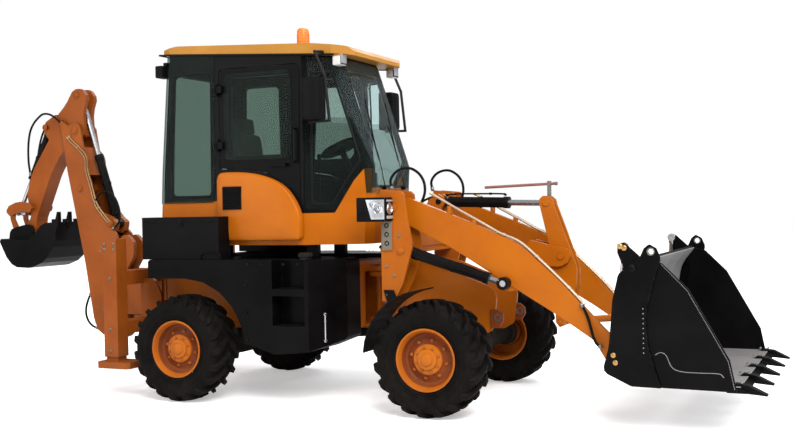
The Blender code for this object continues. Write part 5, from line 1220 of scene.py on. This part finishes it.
def make_loader_lines():
    """Hard pipes and hoses of the loader's arms, crank and tilt ram, and the bucket-level bar."""
    for side_name, side in SIDES:
        for label, y, drop in (("a", 0.552, 0.0), ("b", 0.526, 0.004)):
            line = [(2.243, 1.815), (2.500, 1.668), (2.700, 1.560), (2.859, 1.472), (3.030, 1.397),
                    (3.200, 1.250), (3.361, 1.098), (3.470, 0.990), (3.555, 0.896)]
            hard_pipe(f"arm_pipe_{label}_{side_name}", "arms", [(x, side * y, z - drop) for x, z in line],
                      0.0092, clips=(16, 24, 33))
        bm = bmesh.new()
        for x, low, high in ((2.420, 1.630, 1.700), (2.640, 1.538, 1.583)):
            side_box(bm, side, (x - 0.016, 0.515, low), (x + 0.016, 0.566, high), 0, 0.003)
        finish_piece(f"pipe_stands_{side_name}", bm, ["orange"], "arms")
    hard_pipe("tilt_pipe", "tilt_barrel", [(2.170, 0.0, 1.795), (2.26, 0.0, 1.806), (2.50, 0.0, 1.803),
                                           (2.700, 0.0, 1.798), (2.735, 0.0, 1.785)], 0.0075, "ram_black", (5, 12))
    for side_name, side in SIDES:
        hard_pipe(f"lift_pipe_{side_name}", f"lift_barrel_{side_name}",
                  [(2.110, side * 0.628, 1.358), (2.22, side * 0.628, 1.318), (2.46, side * 0.628, 1.244),
                   (2.66, side * 0.628, 1.180), (2.735, side * 0.628, 1.142)], 0.0070, "ram_black", (5, 12))

    bm = bmesh.new()
    add_tube(bm, [at(2.540, 0.0, 1.857), at(3.175, 0.0, 1.876)], 0.0125, 10, 0)
    add_box(bm, (3.108, -0.018, 1.742), (3.138, 0.018, 1.900), 1, 0.004)
    add_turned(bm, at(3.175, 0.0, 1.876), (1, 0, 0), [(0.0, 0.016), (0.020, 0.016)], 8, 1)
    finish_piece("level_bar", bm, ["sign_pink", "zinc"], "tilt_rod")

    loop = [(1.850, 1.853), (1.838, 1.930), (1.880, 1.995), (1.950, 2.030), (2.030, 2.030), (2.105, 1.985),
            (2.150, 1.915), (2.160, 1.835), (2.140, 1.765), (2.100, 1.700)]
    drop = [(3.540, 0.585, 0.900), (3.572, 0.586, 0.845), (3.600, 0.590, 0.775), (3.622, 0.596, 0.700),
            (3.640, 0.600, 0.640), (3.664, 0.600, 0.592), (3.700, 0.594, 0.562)]
    for side_name, side in SIDES:
        hose(f"front_loop_{side_name}", "front", [(x, side * 0.462, z) for x, z in loop], 0.024)
        hose(f"bucket_hose_{side_name}", "arms", [(x, side * y, z) for x, y, z in drop], 0.022)
    hose("tilt_hose", "front", [(1.900, -0.10, 1.640), (1.930, -0.09, 1.700), (1.975, -0.075, 1.745),
                                (2.035, -0.062, 1.775), (2.095, -0.052, 1.790)], 0.020)


def make_articulation():
    """Two steering pipes across the gap, and the tow eye."""
    for k, z in enumerate((1.20, 1.10)):
        for side_name, side in SIDES:
            hard_pipe(f"cross_pipe_{k}_{side_name}", "machine",
                      [(1.30, side * 0.330, z), (1.345, side * 0.348, z), (1.400, side * 0.352, z - 0.004),
                       (1.440, side * 0.350, z - 0.006)], 0.013, "pipe_pale", (7,))
    for side_name, side in SIDES:
        bm = bmesh.new()
        eye = [(2.680, 0.655), (2.680, 0.810), (2.745, 0.815), (2.790, 0.780), (2.795, 0.720), (2.760, 0.665)]
        side_plate(bm, side, eye, 0.285, 0.320, 0, 0.004)
        add_ring(bm, at(2.745, side * 0.3025, 0.745), (0, side, 0),
                 [(-0.021, 0.018), (-0.021, 0.034), (0.021, 0.034), (0.021, 0.018)], 24, 1)
        # The eye's plates take the rim dish's darker orange, painted shade
        finish_piece(f"tow_eye_{side_name}", bm, ["dish_shade_paint", "zinc"], "front")


# Bucket

BLADE = [(4.240, 0.368), (4.120, 0.418), (4.050, 0.530), (4.017, 0.705), (4.017, 0.895), (4.050, 1.118),
         (4.165, 1.285)]


def make_bucket():
    """Grey wear liners, edge beads, tooth bolts and weld marks of the four-in-one bucket."""
    line = smooth_path([Vector((x, 0.0, z)) for x, z in BLADE], 5)
    bm = bmesh.new()
    front, back = [], []
    for i, point in enumerate(line):
        tangent = (line[min(i + 1, len(line) - 1)] - line[max(i - 1, 0)]).normalized()
        out = Vector((tangent.z, 0.0, -tangent.x))
        front.append((point.x + out.x * 0.010, point.z + out.z * 0.010))
        back.append((point.x - out.x * 0.004, point.z - out.z * 0.004))
    add_plate(bm, front + list(reversed(back)), -1.018, 1.018)
    finish_piece("blade_liner", bm, ["worn_steel"], "bucket", 40.0)

    bm = bmesh.new()
    add_box(bm, (4.275, -1.026, 0.3722), (4.800, 1.026, 0.3770), 0, 0.001)
    finish_piece("lip_plate", bm, ["worn_steel"], "jaw")
    spots = [((x, -0.96 + 0.48 * k + dy, 0.3955), (0, 0, 1))
             for k in range(5) for x in (4.735, 4.800) for dy in (-0.020, 0.020)]
    bolts("tooth_bolts", spots, 0.011, "zinc", "jaw")

    pattern = turned_pattern("bead_pattern", ([(-0.0035, 0.0), (-0.003, 0.004), (0.0, 0.0062), (0.003, 0.004),
                                               (0.0035, 0.0)], 8))
    jaw_edge = [(4.262, 1.246), (4.440, 1.062), (4.720, 0.560), (4.764, 0.352)]
    plate_edge = [(3.885, 0.650), (3.915, 0.985), (3.960, 1.170)]
    for side_name, side in SIDES:
        for label, edge, y, body, finish in (("jaw", jaw_edge, 1.0500, "jaw", "worn_steel"),
                                             ("plate", plate_edge, 1.0760, "bucket", "bucket_black")):
            spots = []
            for start, end in zip(edge, edge[1:]):
                start, end = at(start[0], side * y, start[1]), at(end[0], side * y, end[1])
                count = int((end - start).length / BEAD_PITCH)
                spots.extend((start.lerp(end, k / count), ALONG_Y) for k in range(count))
            scatter(f"weld_{label}_{side_name}", pattern, spots, finish, body, 0.62)
        marks = [(at(4.128, side * 1.0762, 0.600 + 0.036 * k), ALONG_Y) for k in range(10)]
        scatter(f"weld_marks_{side_name}", pattern, marks, "worn_steel", "bucket", 0.9)
        bm = bmesh.new()
        for x, z in ((3.905, 0.575), (3.920, 0.520)):
            add_turned(bm, at(x, side * 1.0765, z), (0, side, 0),
                       [(0.0, 0.020), (0.006, 0.019), (0.009, 0.014), (0.009, 0.0)], 18)
        finish_piece(f"keepers_{side_name}", bm, ["brass"], "bucket")
    bpy.data.objects.remove(pattern)
    bm = bmesh.new()
    for side in (-1.0, 1.0):
        add_ring(bm, at(4.191, side * 1.066, 1.343), (0, side, 0),
                 [(-0.012, 0.0205), (-0.012, 0.029), (0.0135, 0.029), (0.0135, 0.0205)], 28)
    finish_piece("ear_bushes", bm, ["zinc"], "bucket")
    for side_name, side in SIDES:
        bm = bmesh.new()
        for dx, dz in ((-0.016, 0.006), (0.016, -0.006)):
            add_turned(bm, at(3.975 + dx, side * 1.0502, 1.375 + dz), (0, side, 0),
                       [(0.0, 0.021), (0.006, 0.021), (0.010, 0.015), (0.010, 0.0)], 18)
        finish_piece(f"jaw_pin_plate_{side_name}", bm, ["brass"], "jaw")
        # A thin raised pale grey line along the jaw's side
        path = smooth_path([at(x, side * 1.0515, z) for x, z in
                            ((4.206, 0.586), (4.245, 0.605), (4.285, 0.585), (4.327, 0.500), (4.398, 0.472),
                             (4.530, 0.468), (4.655, 0.468), (4.691, 0.441))], 5)
        bm = bmesh.new()
        add_tube(bm, path, 0.0032, 6)
        finish_piece(f"wear_line_{side_name}", bm, ["worn_steel"], "jaw", 60.0)


# Sides of the machine

def make_side_fittings():
    """Deck handles, filler caps, level gauges, box latches and treads."""
    bm = bmesh.new()
    grip = ((0.150, 1.262), (0.158, 1.300), (0.185, 1.318), (0.330, 1.318), (0.357, 1.300), (0.365, 1.262))
    for side in (-1.0, 1.0):
        add_tube(bm, smooth_path([at(x, side * 0.905, z) for x, z in grip], 4), 0.009, 8)
    finish_piece("deck_handles", bm, ["tank_black"], "machine", 60.0)

    for side_name, side in SIDES:
        bm = bmesh.new()
        add_turned(bm, at(1.180, side * 0.820, 1.2605), (0, 0, 1),
                   [(0.0, 0.052), (0.020, 0.052), (0.024, 0.060), (0.052, 0.060), (0.060, 0.052), (0.062, 0.0)], 28, 0)
        for angle in every_turn(TURN / 12):
            x, y = 1.180 + 0.060 * math.cos(angle), side * 0.820 + 0.060 * math.sin(angle)
            add_box(bm, (x - 0.005, y - 0.005, 1.287), (x + 0.005, y + 0.005, 1.310), 0, 0.002)
        finish_piece(f"filler_cap_{side_name}", bm, ["cast_black"], "machine")

        bm = bmesh.new()
        for z in (0.560, 0.790):
            add_turned(bm, at(1.338, side * 0.794, z), (0.82, side * 0.56, 0.0),
                       [(0.0, 0.015), (0.020, 0.015), (0.026, 0.010), (0.026, 0.0)], 14)
        add_tube(bm, [at(1.352, side * 0.805, 0.555), at(1.352, side * 0.805, 0.795)], 0.0085, 12)
        finish_piece(f"level_gauge_{side_name}", bm, ["bright_rod"], "machine")

        bm = bmesh.new()
        side_box(bm, side, (-0.475, 0.9005, 1.600), (0.331, 0.9045, 1.607), 0, 0.001)
        side_box(bm, side, (-0.090, 0.9000, 1.555), (-0.030, 0.9060, 1.625), 0, 0.004)
        side_box(bm, side, (-0.075, 0.905, 1.575), (-0.045, 0.912, 1.612), 0, 0.004)
        for x in (-0.36, 0.24):
            side_box(bm, side, (x - 0.03, 0.9000, 1.590), (x + 0.03, 0.9060, 1.618), 0, 0.003)
        finish_piece(f"box_latch_{side_name}", bm, ["cab_black"], "machine")

    pattern = turned_pattern("tread_pattern", ([(0.0, 0.0), (0.0, 0.010), (0.0035, 0.008), (0.0035, 0.0)], 4))
    for side_name, side in SIDES:
        treads(f"step_treads_{side_name}", pattern, 0.935, side * 0.79, (0.6905, 1.0105), (9, 4), (0.031, 0.032))
        treads(f"deck_treads_{side_name}", pattern, 0.48, side * 0.78, (1.2602,), (14, 3), (0.045, 0.040))
    bpy.data.objects.remove(pattern)


def make_bolts():
    """Bolts seen on the frames, fenders, stabilizers and side tanks."""
    tank = [(x, 0.9302, 1.225) for x in (0.66, 0.80, 1.02, 1.16)]
    tank += [(0.640, 0.9302, z) for z in (0.56, 0.80, 1.04)]
    machine = [(x, 1.0002, z) for z in (1.36, 1.41) for x in (-0.845, -0.740)]
    machine += [(-0.792, 1.0002, z) for z in (0.42, 0.62, 1.09)]
    front = [(x, 0.7053, z) for x, z in ((1.90, 0.96), (1.97, 1.12), (2.02, 1.46), (1.90, 1.20), (1.90, 1.56))]
    boom = [(x, 0.1303, z) for x, z in ((-1.62, 1.30), (-1.56, 1.00), (-1.60, 0.70))]
    for body, name, places, radius, *finish in (
            ("machine", "tank_bolts", tank, 0.014, "tank_black", "black_paint"),
            ("machine", "machine_bolts", machine, 0.014, "zinc"),
            ("front", "front_bolts", front, 0.014, "zinc"), ("boom", "boom_bolts", boom, 0.011, "zinc")):
        spots = [((x, side * y, z), (0, side, 0)) for side in (-1.0, 1.0) for x, y, z in places]
        bolts(name, spots, radius, finish[0], body, *finish[1:])


# Hoe

def make_hoe_details():
    """Hoses and pipes of the hoe, and the caps on its bucket's teeth."""
    arc = [(-2.040, 0.100, 2.575), (-2.103, 0.110, 2.635), (-2.180, 0.115, 2.700), (-2.261, 0.116, 2.742),
           (-2.345, 0.116, 2.748), (-2.415, 0.112, 2.712), (-2.485, 0.106, 2.655), (-2.540, 0.098, 2.580),
           (-2.575, 0.088, 2.480), (-2.595, 0.078, 2.370), (-2.606, 0.064, 2.250), (-2.604, 0.052, 2.160),
           (-2.598, 0.046, 2.115)]
    loop = [(-1.668, 0.140, 1.800), (-1.620, 0.142, 1.868), (-1.550, 0.144, 1.915), (-1.475, 0.145, 1.905),
            (-1.405, 0.145, 1.850), (-1.360, 0.145, 1.760), (-1.345, 0.144, 1.665), (-1.372, 0.142, 1.580),
            (-1.445, 0.140, 1.535)]
    foot = [(-1.776, 0.100, 0.865), (-1.812, 0.100, 0.800), (-1.842, 0.100, 0.720), (-1.845, 0.100, 0.640),
            (-1.815, 0.100, 0.570), (-1.760, 0.100, 0.522), (-1.694, 0.100, 0.500)]
    pipe = [(-1.985, 2.500), (-1.949, 2.459), (-1.800, 2.330), (-1.754, 2.250), (-1.749, 2.141), (-1.700, 1.985),
            (-1.642, 1.798), (-1.560, 1.690), (-1.475, 1.600)]
    for side_name, side in SIDES:
        hose(f"dipper_arc_{side_name}", "dipper", [(x, side * y, z) for x, y, z in arc], 0.022)
        for label, shift in (("a", 0.0), ("b", -0.026)):
            hard_pipe(f"boom_pipe_{label}_{side_name}", "boom",
                      [(x + shift, side * 0.139, z + shift * 0.4) for x, z in pipe], 0.0085, "pipe_tan", (8, 20, 32))
    hose("ram_loop", "boom", [(x, -y, z) for x, y, z in loop], 0.020)
    hose("foot_loop", "boom", [(x, -y, z) for x, y, z in foot], 0.022)
    bm = bmesh.new()
    for k in range(4):
        y = -0.245 + 0.1633 * k
        add_box(bm, (-2.133, y - 0.020, 1.560), (-2.095, y + 0.020, 1.640), 0, 0.006)
    finish_piece("hoe_tooth_caps", bm, ["bucket_black"], "hoe_bucket")


def lift_eyes():
    """Dark boots with a brass nipple over the lift rods' eyes."""
    for side_name, side in SIDES:
        bm = bmesh.new()
        add_ring(bm, at(2.910, side * 0.625, 1.062), (0, side, 0),
                 [(-0.037, 0.0485), (-0.037, 0.0525), (0.037, 0.0525), (0.037, 0.0485)], 28)
        add_ring(bm, at(2.910, side * 0.660, 1.062), (0, side, 0),
                 [(0.0003, 0.0262), (0.0003, 0.0505), (0.0040, 0.0480), (0.0040, 0.0262)], 28)
        add_turned(bm, at(2.878, side * 0.6640, 1.090), (0, side, 0),
                   [(0.0, 0.008), (0.008, 0.007), (0.014, 0.005), (0.014, 0.0)], 12, 1)
        finish_piece(f"lift_eye_{side_name}", bm, ["ram_black", "brass"], f"lift_rod_{side_name}")


def gland_rings():
    """A gland nut at the open end of each barrel, and two bands round it."""
    rows = {
        "tilt": ("tilt_barrel", (2.12, 0.0, 1.740), (3.11, 0.0, 1.710), 0.640, 0.048, 0.027),
        "lift_right": ("lift_barrel_right", (2.03, -0.625, 1.33), (2.91, -0.625, 1.062), 0.790, 0.044, 0.025),
        "lift_left": ("lift_barrel_left", (2.03, 0.625, 1.33), (2.91, 0.625, 1.062), 0.790, 0.044, 0.025),
        "dipper": ("dipper_barrel", (-1.485, 0.0, 1.585), (-1.919, 0.0, 2.926), 0.740, 0.044, 0.026),
        "hoe": ("hoe_barrel", (-2.350, 0.0, 2.610), (-2.800, 0.0, 1.720), 0.600, 0.038, 0.022),
    }
    for label, (body, base, eye, length, barrel, rod) in rows.items():
        start = at(*base)
        axis = (at(*eye) - start).normalized()
        bm = bmesh.new()
        add_ring(bm, start + axis * (length - 0.030), axis,
                 [(0.0, barrel + 0.0005), (0.0, barrel + 0.004), (0.022, barrel + 0.004), (0.028, barrel + 0.001),
                  (0.0305, rod + 0.004), (0.0300, rod + 0.0025), (0.026, rod + 0.0025), (0.026, barrel + 0.0002)], 28)
        for along in (0.10, 0.55):
            add_ring(bm, start + axis * (length * along + 0.02), axis,
                     [(0.0, barrel - 0.001), (0.0, barrel + 0.0035), (0.018, barrel + 0.0035), (0.018, barrel - 0.001)],
                     28)
        finish_piece(f"gland_{label}", bm, ["ram_black"], body)


# Stage

def make_camera(settings):
    """The photo's camera, from the panel's settings."""
    azimuth, tilt, roll = settings.camera_azimuth, settings.camera_tilt, settings.camera_roll
    back = Vector((math.sin(azimuth) * math.cos(tilt), -math.cos(azimuth) * math.cos(tilt), math.sin(tilt)))
    right = Vector((math.cos(azimuth), math.sin(azimuth), 0.0))
    up = back.cross(right)
    data = bpy.data.cameras.new("camera")
    data.lens = settings.lens
    data.sensor_width = 36.0
    camera = new_object("camera", data)
    turn = Matrix((right * math.cos(roll) + up * math.sin(roll), -right * math.sin(roll) + up * math.cos(roll), back))
    camera.matrix_world = Matrix.Translation(Vector(settings.camera_place)) @ turn.transposed().to_4x4()
    bpy.context.scene.camera = camera


def make_world():
    """White to the camera and through glass, a softer grey sky for everything else."""
    world = bpy.data.worlds.new("studio")
    bpy.context.scene.world = world
    world.use_nodes = True
    tree = world.node_tree
    tree.nodes.clear()
    path = add_node(tree, "ShaderNodeLightPath").outputs
    clear = math_node(tree, "MAXIMUM", path["Is Camera Ray"], path["Is Transmission Ray"])
    height = split_xyz(tree, add_node(tree, "ShaderNodeTexCoord").outputs["Generated"])[2]
    sky = mix_colour(tree, ramp_value(tree, height, -0.2, 0.9), (0.62, 0.63, 0.66), (1.0, 1.0, 1.0))
    background = add_node(tree, "ShaderNodeBackground")
    tree.links.new(mix_colour(tree, clear, sky, (1.0, 1.0, 1.0)), background.inputs["Color"])
    tree.links.new(ramp_value(tree, clear, 0.0, 1.0, 0.50, 1.0), background.inputs["Strength"])
    output = add_node(tree, "ShaderNodeOutputWorld")
    tree.links.new(background.outputs[0], output.inputs[0])


def make_floor():
    """A wide pale floor that glows a little for the camera alone, so that it meets the white behind it."""
    material = bpy.data.materials.new("floor")
    material.use_nodes = True
    tree = material.node_tree
    shader = tree.nodes["Principled BSDF"]
    cloud = noise(tree, add_node(tree, "ShaderNodeTexCoord").outputs["Object"], 0.6, 3.0, 0.5)
    tree.links.new(mix_colour(tree, cloud, (0.93, 0.93, 0.93), (0.97, 0.97, 0.97)), shader.inputs["Base Color"])
    seen = add_node(tree, "ShaderNodeLightPath").outputs["Is Camera Ray"]
    tree.links.new(mix_colour(tree, seen, (0.0, 0.0, 0.0), (1.0, 1.0, 1.0)), shader.inputs["Emission Color"])
    set_inputs(shader, Roughness=0.95, Specular_IOR_Level=0.0, Emission_Strength=0.40)
    bm = bmesh.new()
    bmesh.ops.create_grid(bm, x_segments=8, y_segments=8, size=45.0)
    mesh = bpy.data.meshes.new("floor")
    bm.to_mesh(mesh)
    bm.free()
    mesh.materials.append(material)
    new_object("floor", mesh)


def make_lights():
    """Four large soft lamps aimed at the machine's middle, and a wide sun."""
    for name, spot, power, size in (
            ("key", (6.5, -8.0, 7.5), 1050.0, 5.0), ("fill", (-6.0, -7.5, 4.0), 260.0, 6.0),
            ("back", (-2.0, 8.0, 7.0), 420.0, 6.0), ("front", (9.0, 1.0, 4.0), 320.0, 4.0)):
        light = bpy.data.lights.new(name, "AREA")
        light.energy = power
        light.size = size
        lamp = new_object(name, light)
        lamp.location = spot
        lamp.rotation_euler = (Vector(spot) - Vector((0.3, 0.0, 1.2))).to_track_quat("Z", "Y").to_euler()
    sun = bpy.data.lights.new("sun", "SUN")
    sun.energy = 1.9
    sun.angle = math.radians(35.0)
    new_object("sun", sun).rotation_euler = Vector((0.55, -0.55, 1.3)).to_track_quat("Z", "Y").to_euler()


def make_stage():
    """Camera, world, floor and lights."""
    bpy.context.scene.view_settings.view_transform = "Standard"
    make_camera(bpy.context.scene.loader_dressing)
    make_world()
    make_floor()
    make_lights()


def paint_nodes():
    """The CAD nodes' own materials, and smooth faces on them."""
    for name, node in FRAME["nodes"].items():
        material = MATERIALS[node_material(name)]
        if not node.data.materials:
            node.data.materials.append(material)
        for index in range(len(node.data.materials)):
            node.data.materials[index] = material
        soften(node.data, 32.0)


class LOADER_OT_stage(bpy.types.Operator):
    """Camera, lights, floor and background"""
    bl_idname = "loader.stage"
    bl_label = "Stage"

    def execute(self, context):
        make_stage()
        return {"FINISHED"}


class LOADER_OT_materials(bpy.types.Operator):
    """Materials, and their place on the carried-over nodes"""
    bl_idname = "loader.materials"
    bl_label = "Materials"

    def execute(self, context):
        make_materials()
        GROUPS["scatter"] = scatter_group("Scatter")
        bolt_pattern()
        paint_nodes()
        return {"FINISHED"}


class LOADER_OT_lines(bpy.types.Operator):
    """Hoses and hard pipes"""
    bl_idname = "loader.lines"
    bl_label = "Hoses and pipes"

    def execute(self, context):
        make_loader_lines()
        make_articulation()
        make_hoe_details()
        return {"FINISHED"}


class LOADER_OT_wheels(bpy.types.Operator):
    """Tyres, treads, rims, nuts and hub bolts"""
    bl_idname = "loader.wheels"
    bl_label = "Wheels"

    def execute(self, context):
        make_wheels()
        return {"FINISHED"}


class LOADER_OT_cab(bpy.types.Operator):
    """Seat, seals, controls, wipers, lamps and covers"""
    bl_idname = "loader.cab"
    bl_label = "Cab"

    def execute(self, context):
        make_seat()
        make_cab_trim()
        make_controls()
        make_covers()
        make_beacon()
        return {"FINISHED"}


class LOADER_OT_loader(bpy.types.Operator):
    """Headlamps, pin ends, bucket liners, welds and ram glands"""
    bl_idname = "loader.loader"
    bl_label = "Loader front"

    def execute(self, context):
        make_headlamps()
        make_pins()
        make_bucket()
        lift_eyes()
        gland_rings()
        return {"FINISHED"}


class LOADER_OT_sides(bpy.types.Operator):
    """Tank fittings, treads, latches and bolts"""
    bl_idname = "loader.sides"
    bl_label = "Sides"

    def execute(self, context):
        make_side_fittings()
        make_bolts()
        bpy.data.objects.remove(bpy.data.objects["bolt_pattern"])
        return {"FINISHED"}


class LOADER_PT_panel(bpy.types.Panel):
    """Buttons for each group of pieces"""
    bl_idname = "LOADER_PT_panel"
    bl_label = "Loader"
    bl_space_type = "VIEW_3D"
    bl_region_type = "UI"
    bl_category = "Loader"

    def draw(self, context):
        settings = context.scene.loader_dressing
        self.layout.prop(settings, "lug_count")
        self.layout.prop(settings, "hose_sides")
        self.layout.prop(settings, "lens")
        for name in STEPS:
            self.layout.operator("loader." + name)


STEPS = ("stage", "materials", "lines", "wheels", "cab", "loader", "sides")
CLASSES = (LoaderSettings, LOADER_OT_stage, LOADER_OT_materials, LOADER_OT_lines, LOADER_OT_wheels,
           LOADER_OT_cab, LOADER_OT_loader, LOADER_OT_sides, LOADER_PT_panel)


def register():
    for cls in CLASSES:
        bpy.utils.register_class(cls)
    bpy.types.Scene.loader_dressing = bpy.props.PointerProperty(type=LoaderSettings)


def unregister():
    del bpy.types.Scene.loader_dressing
    for cls in reversed(CLASSES):
        bpy.utils.unregister_class(cls)


def main():
    register()
    FRAME.update(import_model())
    for name in STEPS:
        getattr(bpy.ops.loader, name)()


if __name__ == "__main__":
    main()
